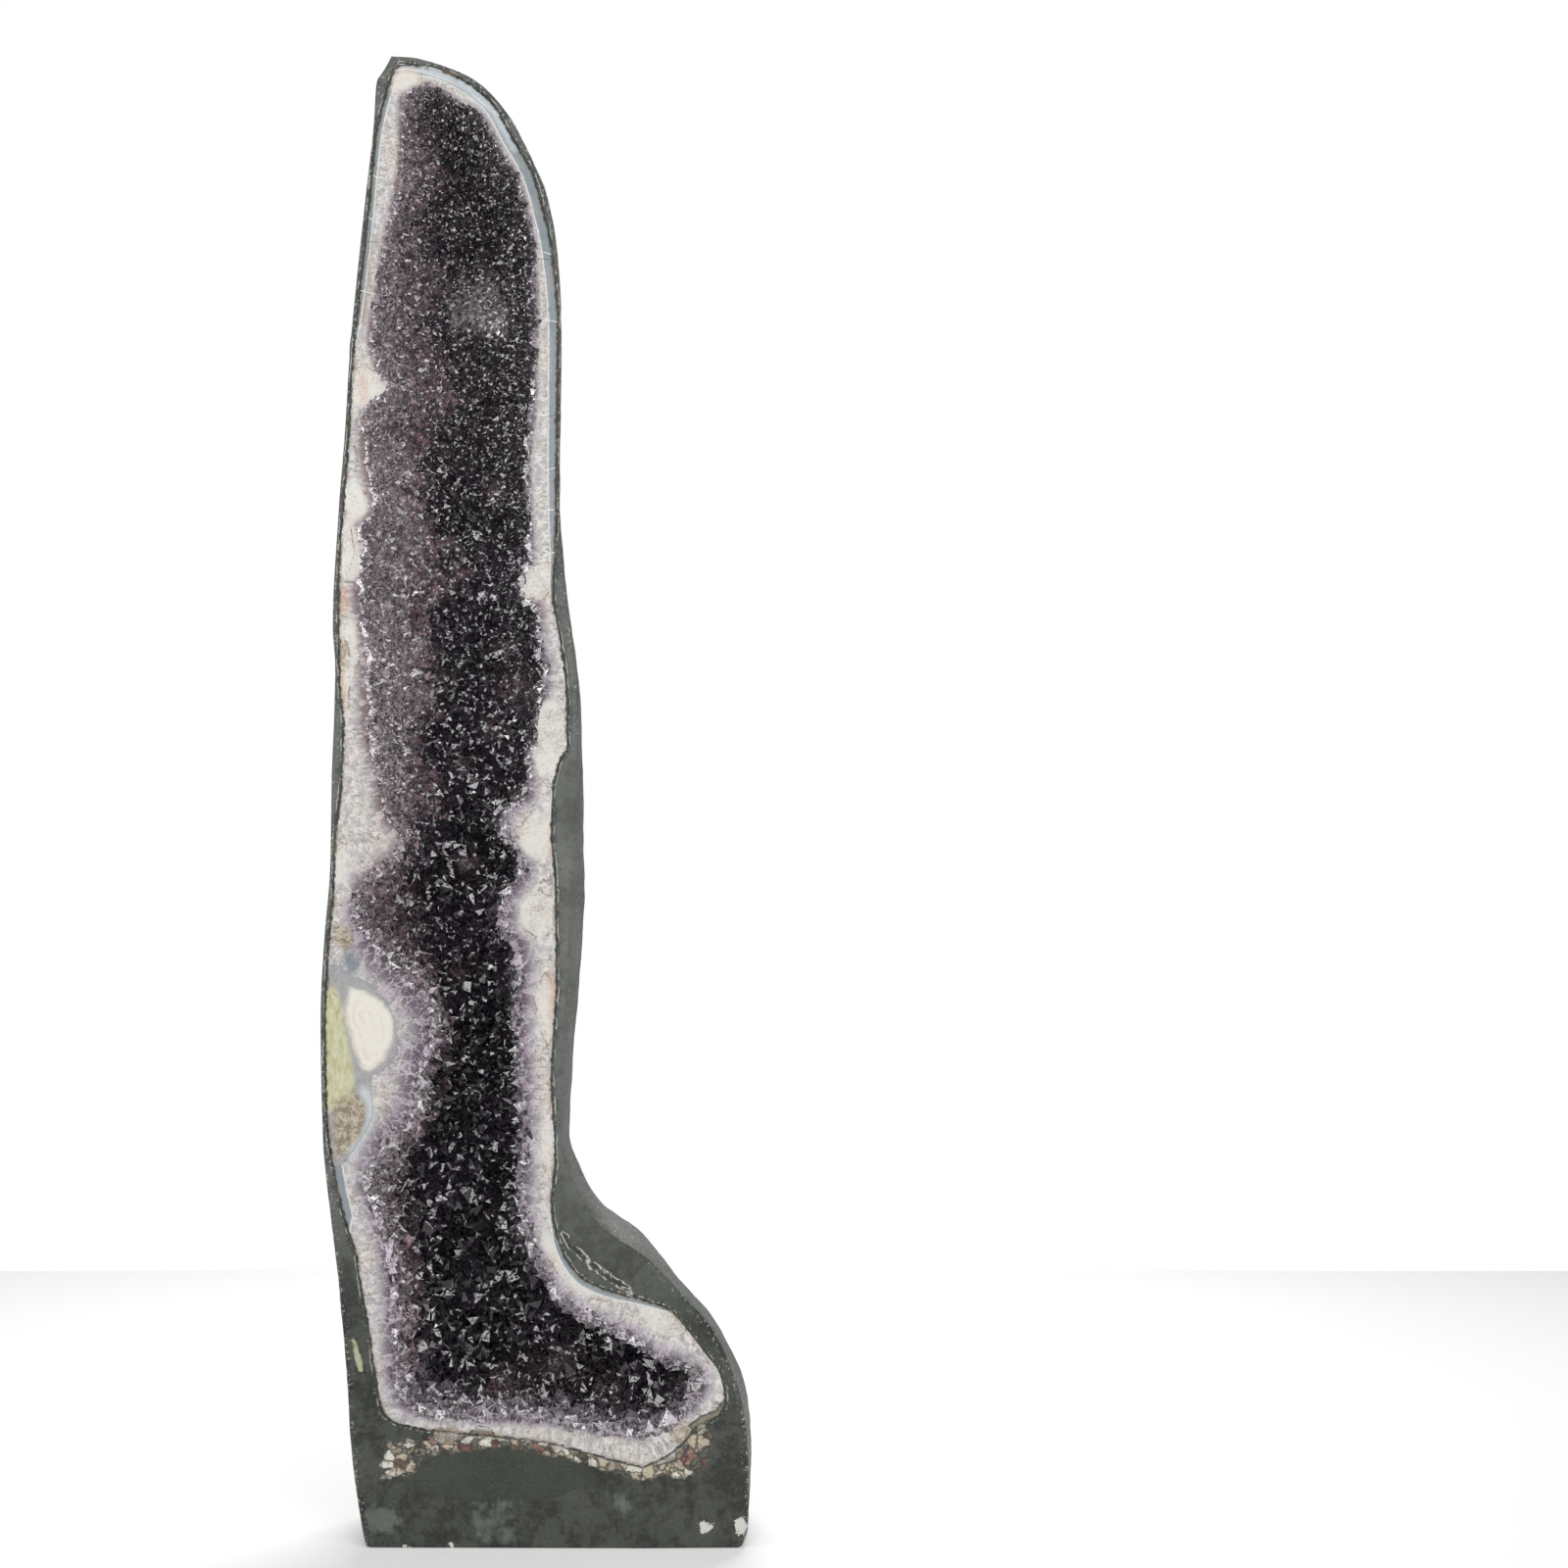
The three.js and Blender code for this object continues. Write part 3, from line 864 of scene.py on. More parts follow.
def planted(scale, darts=14):
    """Places on the bed, one at most to a cell whose side is the spacing there. Darts fall evenly on the
    bed, the first in each cell stays, and the same is done again with the cells moved by half."""
    corner, aside, above, across = BED[:-1, :-1], BED[:-1, 1:], BED[1:, :-1], BED[1:, 1:]
    area = np.linalg.norm(np.cross(aside - corner, above - corner), axis=-1)
    spacing = follow(SPACING, corner[..., 2]) * scale
    weight = (area / spacing ** 2).ravel()
    count = int(weight.sum() * darts)
    cell = rng.choice(weight.size, count, p=weight / weight.sum())
    row, column = np.divmod(cell, area.shape[1])
    u, v = rng.random((2, count, 1))
    points = ((1 - v) * ((1 - u) * corner[row, column] + u * aside[row, column])
              + v * ((1 - u) * above[row, column] + u * across[row, column]))
    normals = -facing(BED)[row, column]
    size = follow(SPACING, points[:, 2]) * scale
    fine = np.linspace(0, BODY_TOP, 500)
    climbed = np.cumsum(np.gradient(fine) / (follow(SPACING, fine) * scale))
    steps_up = np.interp(points[:, 2], fine, climbed)
    keys = np.stack([points[:, 0] / size, points[:, 1] / size, steps_up], axis=1)
    kept = np.arange(count)
    for shift in (0.0, 0.5):
        _, first = np.unique(np.floor(keys[kept] + shift), axis=0, return_index=True)
        kept = kept[np.sort(first)]
    return points[kept], normals[kept], size[kept]


# %% One crystal, many times
def crystal_mesh(roots, axes, radii, tall, even_drop, odd_drop, buried):
    """Points and faces of six-sided crystals. A tip stands at the height above the root, and six
    shoulders lie below it round the axis, each second one lower, which is how quartz ends. Six more lie
    under the bed."""
    count = len(roots)
    across = unit(np.cross(axes, rng.normal(size=(count, 3))))
    aside = np.cross(axes, across)
    angles = np.arange(6) * np.pi / 3
    reach = radii[:, None] * (1 + 0.12 * rng.normal(size=(count, 6)))
    spokes = (across[:, None] * np.cos(angles)[:, None] + aside[:, None] * np.sin(angles)[:, None])
    spokes = spokes * reach[..., None]
    drops = np.where(np.arange(6) % 2 == 0, even_drop[:, None], odd_drop[:, None])
    drops = drops * (1 + 0.1 * rng.normal(size=(count, 6)))
    shoulder_height = np.maximum(tall[:, None] - drops, -buried[:, None] + 0.2)
    off_centre = 0.22 * radii[:, None] * rng.normal(size=(count, 2))
    tips = roots + axes * tall[:, None] + across * off_centre[:, :1] + aside * off_centre[:, 1:]
    shoulders = roots[:, None] + spokes + axes[:, None] * shoulder_height[..., None]
    feet = roots[:, None] + spokes * 0.9 - axes[:, None] * buried[:, None, None]
    points = np.concatenate([tips[:, None], shoulders, feet], axis=1)
    now = np.arange(6)
    after = (now + 1) % 6
    top = np.stack([0 * now, 1 + now, 1 + after, 0 * now], axis=1)
    side = np.stack([1 + now, 7 + now, 7 + after, 1 + after], axis=1)
    under = np.array([[7, 10, 9, 8], [7, 12, 11, 10]])
    cells = np.concatenate([top, side, under])
    keep = np.ones_like(cells, bool)
    keep[:6, 3] = False
    faces = (cells + POINTS_EACH * np.arange(count)[:, None, None]).reshape(-1, 4)
    return points.reshape(-1, 3), faces, np.tile(keep, (count, 1))


def sawn(points):
    """What stands in front of the saw cut is pressed back to almost nothing, so that it ends in a flat
    face. Each crystal ends a little differently, so that no two sawn faces share one plane."""
    back = np.repeat(SAW_UNEVEN * rng.random(len(points) // POINTS_EACH), POINTS_EACH)
    proud = points[:, 1] - FRONT
    points = points.copy()
    points[:, 1] = FRONT + back + np.where(proud > 0, proud, SAW_PRESSED * proud)
    return points


# %% Colours of the crystals, from the way they sit
WHITE_ROOT = colour(232, 228, 232)[:3]
LAVENDER = colour(214, 196, 216)[:3]
MAUVE = colour(180, 134, 148)[:3]
PINK_WHITE = colour(222, 196, 204)[:3]
VIOLET = colour(74, 56, 84)[:3]
DEEP = colour(34, 27, 36)[:3]
SMOKE = colour(112, 98, 98)[:3]
GREY_LUMP = colour(200, 192, 188)[:3]
PALE_LUMPS = [(-44, 1014, 26), (-30, 1000, 14), (-60, 1004, 14)]
NEAR_LEFT = [(92, 1), (500, 1), (560, 0.3), (1194, 0.25)]
NEAR_RIGHT = [(92, 1), (560, 0.9), (800, 0.5), (1194, 0.35)]
VIEW_MIDDLE = np.array([(PHOTO / 2 - AXIS_PIXEL[0]) * PIXEL, 0, (AXIS_PIXEL[1] - PHOTO / 2) * PIXEL])
VIEW_FAR = FAR / MM
MAUVE_SPOTS = [
    (-12, 702, 16), (-34, 668, 10), (-24, 735, 9), (-60, 640, 10), (-52, 560, 9), (-60, 470, 8),
    (-10, 610, 8), (-30, 860, 10), (20, 150, 18), (60, 130, 14), (-20, 130, 18),
]
# How far out up the left wall the crystals are pale, and how far mauve, at each height: partly their own
# colour, partly painted light where that wall is lit.
PALE_AND_LIT_UP_TO = [
    (92, -112), (190, -113), (250, -120), (300, -122), (340, -105), (370, -108), (400, -88), (430, -83),
    (460, -99), (490, -121), (520, -130), (550, -133), (580, -108), (640, -114), (700, -93), (730, -96),
    (760, -107), (820, -96), (880, -108), (1000, -114), (1060, -108), (1150, -101), (1194, -101),
]
MAUVE_AND_LIT_UP_TO = [
    (92, -100), (190, -103), (250, -105), (310, -110), (340, -100), (370, -91), (400, -80), (430, -76),
    (460, -91), (520, -94), (550, -105), (580, -101), (610, -80), (670, -90), (700, -81), (760, -91),
    (790, -62), (820, -76), (850, -94), (910, -85), (940, -62), (970, -82), (1000, -91), (1030, -76),
    (1060, -92), (1100, -88), (1120, -70), (1150, -82), (1194, -90),
]


def opaque(colours):
    """Rows of three channels, with the fourth one added."""
    return np.pad(colours, ((0, 0), (0, 1)), constant_values=1)


def blend(first, second, share):
    """The way from one colour to another, by a share for each place."""
    return np.asarray(first) + (np.asarray(second) - np.asarray(first)) * np.asarray(share)[..., None]


def tip_colours(roots):
    """Dark violet deep in the hollow, mauve and paler up the left wall, partly the crystals' own colour and
    partly painted light where that wall is lit, mauve in spots, smoky at the top, and paler towards the saw
    cut, with patches of noise that shift each border. Also how pale each root is, from 0 to 1."""
    behind = roots[:, 1] - FRONT
    seen = VIEW_MIDDLE + (roots - VIEW_MIDDLE) / (1 + behind / VIEW_FAR)[:, None]
    x, z = seen[:, 0], seen[:, 2]
    patch = rough(roots, 42, 3, 41)
    small = rough(roots, 11, 3, 47)
    tint = blend(DEEP, VIOLET, np.clip(0.3 + 0.8 * patch + 0.4 * small, 0, 1))
    tint = blend(tint, SMOKE, 0.6 * smoothstep(760, 1000, z + 60 * patch) * np.clip(0.6 + small, 0, 1))
    single = rough(roots, 4, 1, 53)
    shifted = x + 5 * patch + 12 * small + 7 * single
    # Up the left wall the crystals turn mauve, then pale: partly their own colour, partly painted light
    # there.
    leftness = 1 - smoothstep(-10, 12, shifted - follow(MAUVE_AND_LIT_UP_TO, z))
    paler = 1 - smoothstep(-8, 14, shifted - follow(PALE_AND_LIT_UP_TO, z))
    spots = sum(np.exp(-1.5 * ((x - u + 6 * small) ** 2 + (z - v) ** 2) / r ** 2)
                for u, v, r in MAUVE_SPOTS)
    mauve = np.clip(0.9 * leftness + 0.6 * spots, 0, 1) * (1 - 0.4 * smoothstep(860, 1060, z))
    tint = blend(tint, MAUVE, mauve)
    tint = blend(tint, PINK_WHITE, 0.72 * paler)
    lumps = sum(np.exp(-2.5 * ((x - u + 8 * small) ** 2 + (z - v) ** 2) / r ** 2)
                for u, v, r in PALE_LUMPS)
    tint = blend(tint, GREY_LUMP, np.clip(1.6 * lumps * (1 + 0.5 * small), 0, 1))
    front_floor = (1 - smoothstep(120, 165, z + 10 * small)) * (1 - smoothstep(30, 90, behind))
    tint = blend(tint, LAVENDER, 0.75 * front_floor)
    reach = follow([(92, 16), (150, 9), (500, 7), (900, 5), (1194, 4)], z)
    near = np.exp(-np.clip(behind, 0, None) / reach) * np.clip(1.1 + 0.6 * patch + 0.4 * small, 0, 1.3)
    near = near * np.where(x < -60, follow(NEAR_LEFT, z), follow(NEAR_RIGHT, z))
    tint = blend(tint, LAVENDER, np.clip(near, 0, 1))
    uneven = 0.3 + 0.25 * np.clip(mauve + paler, 0, 1)[:, None]
    shaded = tint * (1 + uneven * rng.normal(size=(len(roots), 1))).clip(0.25, 1.9)
    return shaded, np.clip(near + 0.55 * mauve + 0.45 * paler + 0.4 * front_floor + 0.6 * lumps, 0, 1)


# %% Planting the points
BLUNT = 1.1
SHARP_EVEN = 0.635
SHARP_ODD = 1.27


def point_colours(roots):
    """A colour for each of a crystal's points: its own at the tip, paler at the six shoulders, and at the
    six points of the foot paler on pale crystals but darker, down to half, on dark ones, a painted shade at
    the roots. Also how pale the crystal is."""
    tips, pale = tip_colours(roots)
    shoulders = blend(tips, WHITE_ROOT, 0.3 * pale)
    # Painted shade: the feet of dark crystals are darkened to half, as the shade at their roots.
    feet = blend(tips * (0.5 + 0.5 * pale[:, None]), WHITE_ROOT, 0.6 * pale)
    rings = [np.repeat(ring[:, None], 6, axis=1) for ring in (shoulders, feet)]
    colours = np.concatenate([tips[:, None]] + rings, axis=1)
    return opaque(colours.reshape(-1, 3)).clip(0, 1), pale


def grow(roots, normals, sizes, lean, stout, stretch):
    """Crystals on the given roots. The lean turns their axes away from square by chance, the stout range
    sets the radius and the stretch range the bare prism below the tip, both as shares of the spacing."""
    count = len(roots)
    axes = unit(normals + lean * rng.normal(size=(count, 3)))
    radii = sizes * rng.uniform(*stout, count)
    sharp = rng.random(count)
    even = radii * (BLUNT + (SHARP_EVEN - BLUNT) * sharp)
    odd = radii * (BLUNT + (SHARP_ODD - BLUNT) * sharp)
    tall = even + sizes * rng.uniform(*stretch, count)
    points, faces, keep = crystal_mesh(roots, axes, radii, tall, even, odd, BURIED * sizes)
    return sawn(points), faces, keep


large = planted(1.0)
small = planted(SMALL)
roots = np.concatenate([large[0], small[0]])
points, faces, keep = (np.concatenate(pair) for pair in zip(
    grow(*large, lean=0.3, stout=(0.42, 0.86), stretch=(0.0, 0.45)),
    grow(*small, lean=0.4, stout=(0.5, 0.95), stretch=(0.0, 0.7))))
faces[len(large[0]) * FACES_EACH:] += len(large[0]) * POINTS_EACH
crystal_tints, paleness = point_colours(roots)
print(len(large[0]), "large crystals and", len(small[0]), "small ones")

# %% [markdown]
# ## Teeth along the saw cut
# Where the saw ran through the crust, the crystals are cut lengthwise and show as a pale fringe of teeth
# against the dark hollow. They get a row of their own, so that the fringe has no gaps.

# %% Teeth
TOOTH_SPACING = 0.5
TOOTH_DEPTH = 1.1


def fringe():
    """Roots along the edge of the bed on the saw cut, a share of the spacing apart, just behind the
    cut."""
    edge = np.concatenate([BED[:, 0], BED[::-1, -1]])
    way = way_along(edge)
    density = 1 / (TOOTH_SPACING * follow(SPACING, edge[:, 2]))
    grown = np.concatenate([[0], np.cumsum(np.diff(way) * (density[1:] + density[:-1]) / 2)])
    along = np.interp(np.arange(0.5, grown[-1]) + 0.35 * rng.normal(size=int(grown[-1] + 0.5)), grown, way)
    spots, ahead = (np.stack([np.interp(at, way, edge[:, k]) for k in range(3)], axis=1)
                    for at in (along, along + 1))
    tangent = ahead - spots
    inward = unit(np.stack([tangent[:, 2], 0 * tangent[:, 0], -tangent[:, 0]], axis=1))
    sizes = follow(SPACING, spots[:, 2])
    spots[:, 1] = FRONT + rng.uniform(0.0, TOOTH_DEPTH, len(spots)) * sizes
    sizes = sizes * rng.uniform(0.6, 1.15, len(spots))
    return spots, inward, sizes


tooth_roots = fringe()
teeth_at = tooth_roots[0]
teeth_skin = grow(*tooth_roots, lean=0.42, stout=(0.4, 0.75), stretch=(0.0, 0.5))
teeth_tints, teeth_pale = point_colours(teeth_at)
teeth_tints[:, :3] *= np.repeat(rng.uniform(0.3, 1.05, len(teeth_at)), POINTS_EACH)[:, None]
teeth_pale = np.repeat(teeth_pale, POINTS_EACH)
print(len(teeth_at), "teeth")

# %% [markdown]
# ## What shows on the saw cut
# Listed outlines, in millimetres on the cut, say where the stone changes: creamy jasper, a
# green-yellow inclusion, brown nodules, blue-grey agate, and the cracks. Their edges are roughened later
# by noise in the finish, so each outline needs only a few corners.

# %% Patches of the rim
RIM_PATCHES = {
    "cream": [
        [(-157, 960), (-140, 964), (-121, 958), (-119, 940), (-138, 932), (-156, 936)],
        [(-157, 868), (-146, 871), (-136, 858), (-138, 842), (-152, 838)],
        [(-161, 834), (-150, 838), (-141, 822), (-140, 795), (-150, 790), (-160, 792)],
        [(-163, 762), (-148, 758), (-143, 728), (-152, 700), (-154, 660), (-163, 664)],
        [(-165, 580), (-154, 574), (-154, 546), (-164, 544)],
        [(-16, 784), (-4, 802), (11, 806), (15, 786), (6, 774), (-8, 776)],
        [(-3, 684), (16, 694), (26, 676), (29, 656), (17, 634), (4, 630), (-4, 654)],
        [(-15, 586), (-2, 600), (15, 596), (17, 570), (4, 561), (-10, 569)],
        [(-13, 524), (0, 538), (14, 532), (16, 506), (2, 498), (-10, 507)],
        [(0, 452), (9, 470), (17, 454), (17, 420), (10, 410), (3, 430)],
        [(6, 344), (13, 352), (17, 322), (12, 300), (6, 318)],
        [(8, 262), (20, 244), (48, 220), (66, 210), (62, 202), (40, 206), (18, 226), (4, 250)],
        [(84, 198), (100, 206), (118, 191), (124, 176), (108, 172), (92, 182)],
    ],
    "nodule": [
        [(-161, 476), (-148, 468), (-138, 462), (-127, 452), (-117, 439), (-112, 424), (-113, 404),
         (-121, 392), (-133, 386), (-133, 372), (-132, 352), (-142, 334), (-157, 313), (-176, 306),
         (-176, 476)],
    ],
    "jasper": [
        [(-152, 458), (-140, 456), (-126, 448), (-116, 436), (-115, 416), (-122, 399), (-134, 389),
         (-141, 391), (-146, 402), (-150, 416), (-156, 436)],
    ],
    "green": [
        [(-174, 458), (-162, 458), (-156, 440), (-151, 410), (-147, 384), (-150, 364), (-174, 354)],
    ],
    "brown": [
        [(-164, 366), (-148, 374), (-136, 362), (-137, 342), (-150, 324), (-164, 318)],
        [(-164, 512), (-152, 508), (-146, 496), (-154, 486), (-164, 494)],
        [(-160, 740), (-154, 742), (-151, 732), (-153, 718), (-160, 716)],
        [(-85, 96), (-78, 102), (-66, 101), (-60, 94), (-61, 84), (-74, 80), (-86, 84)],
        [(110, 96), (122, 104), (134, 102), (138, 90), (118, 78)],
    ],
    "eye": [
        [(-158, 484), (-150, 489), (-143, 480), (-145, 469), (-154, 470)],
    ],
    "orange": [
        [(-165, 784), (-154, 786), (-150, 774), (-154, 763), (-164, 766)],
        [(-161, 716), (-155, 714), (-154, 690), (-157, 668), (-161, 676)],
        [(-144, 960), (-139, 960), (-137, 936), (-142, 936)], [(11, 474), (19, 460), (18, 434), (13, 428)],
        [(12, 596), (17, 588), (16, 566), (12, 562)], [(13, 380), (18, 372), (17, 350), (13, 352)],
        [(-113, 1207), (-98, 1209), (-93, 1204), (-104, 1203)],
    ],
    "pale_band": [
        [(-141, 378), (-134, 374), (-131, 364), (-131, 348), (-139, 332), (-150, 320), (-152, 326),
         (-142, 336), (-137, 350), (-137, 362), (-143, 372)],
        [(-117, 1211), (-90, 1210), (-60, 1202), (-30, 1176), (-14, 1140), (-18, 1140), (-36, 1171),
         (-63, 1194), (-92, 1204), (-117, 1206)],
    ],
    "tan": [
        [(-133, 1160), (-128, 1160), (-131, 1080), (-136, 1000), (-144, 1000), (-140, 1080)],
    ],
    "pocket": [
        [(-117, 1204), (-108, 1207), (-96, 1205), (-95, 1197), (-104, 1189), (-117, 1190)],
    ],
    "dark": [
        [(-53, 94), (-47, 101), (-38, 101), (-33, 94), (-36, 84), (-50, 82)],
        [(126, 100), (136, 108), (148, 112), (155, 122), (158, 108), (146, 96), (132, 92)],
        [(112, 150), (120, 156), (126, 146), (118, 138)],
    ],
}
RIM_LINES = {
    "crack": [
        [(-170, 470), (-164, 452), (-154, 448)], [(-166, 364), (-170, 338), (-161, 330)],
        [(-158, 838), (-150, 833), (-147, 812), (-152, 796)],
        [(-162, 742), (-153, 740), (-151, 728), (-154, 717), (-162, 716)],
        [(-156, 902), (-147, 900), (-144, 888), (-148, 875), (-156, 873)],
    ],
    "white_line": [
        [(-117, 1211), (-100, 1212), (-82, 1208), (-66, 1203)],
        [(-117, 1206), (-104, 1208), (-90, 1205), (-70, 1198)],
        [(-70, 1198), (-52, 1188), (-38, 1176), (-20, 1164)], [(-117, 1190), (-104, 1189), (-95, 1197)],
    ],
}

# %% How wide the bands are, going up each side
AGATE_LEFT = [(60, 0), (255, 0), (275, 7), (312, 7), (325, 0), (970, 0), (1010, 3), (1060, 4), (1130, 4),
              (1180, 4), (1212, 6)]
AGATE_RIGHT = [(60, 1), (185, 1), (205, 5), (248, 4), (290, 1), (760, 1), (800, 3), (860, 6), (1060, 7.5),
               (1150, 8), (1195, 8), (1212, 7)]
SAWN_LEFT = [(90, 6), (118, 14), (300, 16), (340, 26), (430, 30), (490, 24), (520, 10), (560, 14),
             (680, 13), (900, 10), (960, 5), (1194, 4)]
PINK_LEFT = [(92, 0), (490, 0), (560, 1), (1194, 1)]
PINK_RIGHT = [(92, 0), (560, 0), (800, 0.3), (1194, 0.5)]
SAWN_RIGHT = [(90, 6), (126, 13), (300, 15), (480, 18), (560, 14), (640, 12), (780, 10), (830, 5),
              (1194, 4)]

HOLLOW_EDGE, RIND_EDGE, BODY_EDGE = (edge_line(form) for form in (HOLLOW, RIND, BODY))


def two_sides(left, right, line, way, z):
    """The value of one table or the other, by the side of the line's top on which a place lies."""
    half = way_along(line[:len(line) // 2])[-1]
    return np.where(way < half, follow(left, z), follow(right, z))


def crystals_passed(way):
    """How many crystals stand along the hollow's edge up to a place on it: the spacing's inverse,
    summed."""
    steps = np.linalg.norm(np.diff(HOLLOW_EDGE, axis=0), axis=1)
    passed = np.cumsum(np.pad(steps / follow(SPACING, HOLLOW_EDGE[1:, 1]), (1, 0)))
    return np.interp(way, way_along(HOLLOW_EDGE), passed)


def note_cut(piece, points):
    """Stores what the finish of the rim needs to know about each point."""
    places = points[:, [0, 2]]
    inner, way_in = away_from(HOLLOW_EDGE, places)
    outer, way_out = away_from(RIND_EDGE, places)
    z = places[:, 1]
    note(piece, **fields_of(RIM_PATCHES, RIM_LINES, places), inner=inner, outer=outer,
         passed=crystals_passed(way_in), coarse=follow(SPACING, z),
         agate=two_sides(AGATE_LEFT, AGATE_RIGHT, RIND_EDGE, way_out, z) - outer,
         sawn=two_sides(SAWN_LEFT, SAWN_RIGHT, HOLLOW_EDGE, way_in, z),
         pink=two_sides(PINK_LEFT, PINK_RIGHT, HOLLOW_EDGE, way_in, z),
         cut=1 - smoothstep(0.2, 0.9, points[:, 1] - FRONT))


# %% Patches of the mortar's sawn front
MORTAR_PATCHES = {
    "rubble": [
        [(-126, 58), (-122, 82), (-112, 90), (-96, 84), (-88, 76), (-92, 66), (-106, 58)],
        [(98, 62), (106, 76), (122, 90), (140, 98), (146, 90), (138, 66), (122, 57)],
        [(-90, 84), (-86, 94), (-60, 92), (-30, 90), (-8, 90), (-8, 84), (-34, 82), (-66, 78)],
        [(-8, 92), (-6, 82), (14, 76), (36, 72), (62, 62), (90, 55), (104, 60), (100, 72), (84, 71),
         (60, 78), (34, 90)],
        [(126, 92), (138, 100), (150, 118), (156, 132), (151, 136), (143, 118), (130, 104)],
    ],
    "nodule": [
        [(-84, 98), (-72, 102), (-62, 96), (-61, 86), (-72, 80), (-82, 86)],
        [(-48, 98), (-40, 100), (-36, 94), (-42, 89)], [(-26, 96), (-8, 98), (9, 92), (6, 86), (-14, 87)],
        [(24, 88), (36, 88), (38, 81), (26, 80)], [(98, 82), (114, 84), (116, 72), (100, 68)],
    ],
    "lens": [
        [(-114, 58), (-92, 45), (-56, 39), (-20, 40), (16, 41), (36, 51), (56, 54), (34, 76), (0, 88),
         (-50, 84), (-88, 72)],
    ],
    "drip": [
        [(-27, 47), (-15, 50), (-13, 22), (-15, 2), (-25, 2), (-29, 24)],
        [(-50, 36), (-38, 38), (-35, 14), (-42, 4), (-50, 8)],
        [(-138, 34), (-118, 36), (-106, 24), (-116, 12), (-138, 12)],
        [(-9, 24), (-7, 24), (-7, 0), (-9, 0)], [(58, 44), (76, 48), (80, 30), (64, 26)],
    ],
    "chip": [
        [(-81, 5), (-74, 8), (-68, 5), (-66, -2), (-82, -2)],
        [(-113, 2), (-104, 3), (-103, -2), (-113, -2)], [(133, 22), (140, 25), (145, 18), (138, 12)],
        [(163, 22), (171, 24), (173, 12), (166, 10)],
    ],
    "streak": [
        [(-150, 172), (-145, 172), (-139, 144), (-144, 142)],
    ],
}
MORTAR_LINES = {
    "scallop": [
        [(24, 256), (30, 246), (40, 238), (46, 230), (56, 226), (62, 219), (74, 214), (84, 200)],
    ],
}


def note_mortar(piece, points):
    """Stores what the finish of the mortar needs: how far in from its front edge and out from the rim a
    point lies, how far behind the saw cut, and the patches."""
    places = points[:, [0, 2]]
    note(piece, **fields_of(MORTAR_PATCHES, MORTAR_LINES, places), rim=away_from(RIND_EDGE, places)[0],
         edge=away_from(BODY_EDGE, places)[0], behind=points[:, 1] - FRONT)


# %% [markdown]
# ## Finish of the rim
# From the hollow outwards the saw met crystals lengthwise, then milky quartz, then agate in thin lines,
# and last a skin of dark green rock. All of these follow the distances stored on the points, with noise to
# make each border waver.

# %% Colours of the stone
QUARTZ_WHITE = colour(216, 213, 211)
QUARTZ_GREY = colour(128, 124, 125)
QUARTZ_CLEAR = colour(162, 158, 158)
QUARTZ_WARM = colour(216, 206, 190)
SAWN_PALE = colour(186, 172, 188)
SAWN_LAVENDER = colour(138, 112, 138)
SAWN_VIOLET = colour(74, 54, 78)
SAWN_PINK = colour(204, 190, 192)
SAWN_ROSE = colour(158, 126, 134)
SAWN_BROWN = colour(92, 68, 74)
AGATE_BLUE = colour(112, 125, 133)
AGATE_GREY = colour(148, 155, 157)
AGATE_PALE = colour(198, 206, 210)
LINE_WHITE = colour(228, 228, 226)
NODULE_GREY = colour(164, 163, 164)
NODULE_BROWN = colour(128, 113, 90)
NODULE_TAN = colour(190, 178, 156)
JASPER_CREAM = colour(222, 218, 208)
JASPER_PINK = colour(204, 178, 162)
PATCH_CREAM = colour(214, 210, 199)
CREAM_ORANGE = colour(196, 146, 116)
STAIN_BROWN = colour(104, 76, 54)
STAIN_TAN = colour(150, 140, 124)
GREEN_YELLOW = colour(202, 200, 166)
GREEN_OLIVE = colour(168, 168, 124)
ROCK_DARK_AND_SHADOW = colour(36, 36, 33)
ROCK_GREEN = colour(84, 88, 78)
SPECK_DARK = colour(58, 48, 56)

ACROSS = [
    ((8, 1058), (18, 1055), LINE_WHITE), ((9, 1003), (19, 1001), LINE_WHITE),
    ((8, 880), (17, 882), LINE_WHITE), ((7, 847), (16, 848), LINE_WHITE),
    ((7, 811), (16, 813), LINE_WHITE), ((12, 924), (20, 926), STAIN_BROWN),
    ((-2, 1053), (18, 1052), ROCK_GREEN), ((-147, 1028), (-130, 1024), LINE_WHITE),
    ((-142, 1090), (-128, 1082), LINE_WHITE), ((-137, 1122), (-124, 1118), LINE_WHITE),
    ((-145, 1068), (-128, 1066), STAIN_BROWN), ((-162, 790), (-140, 788), ROCK_GREEN),
]


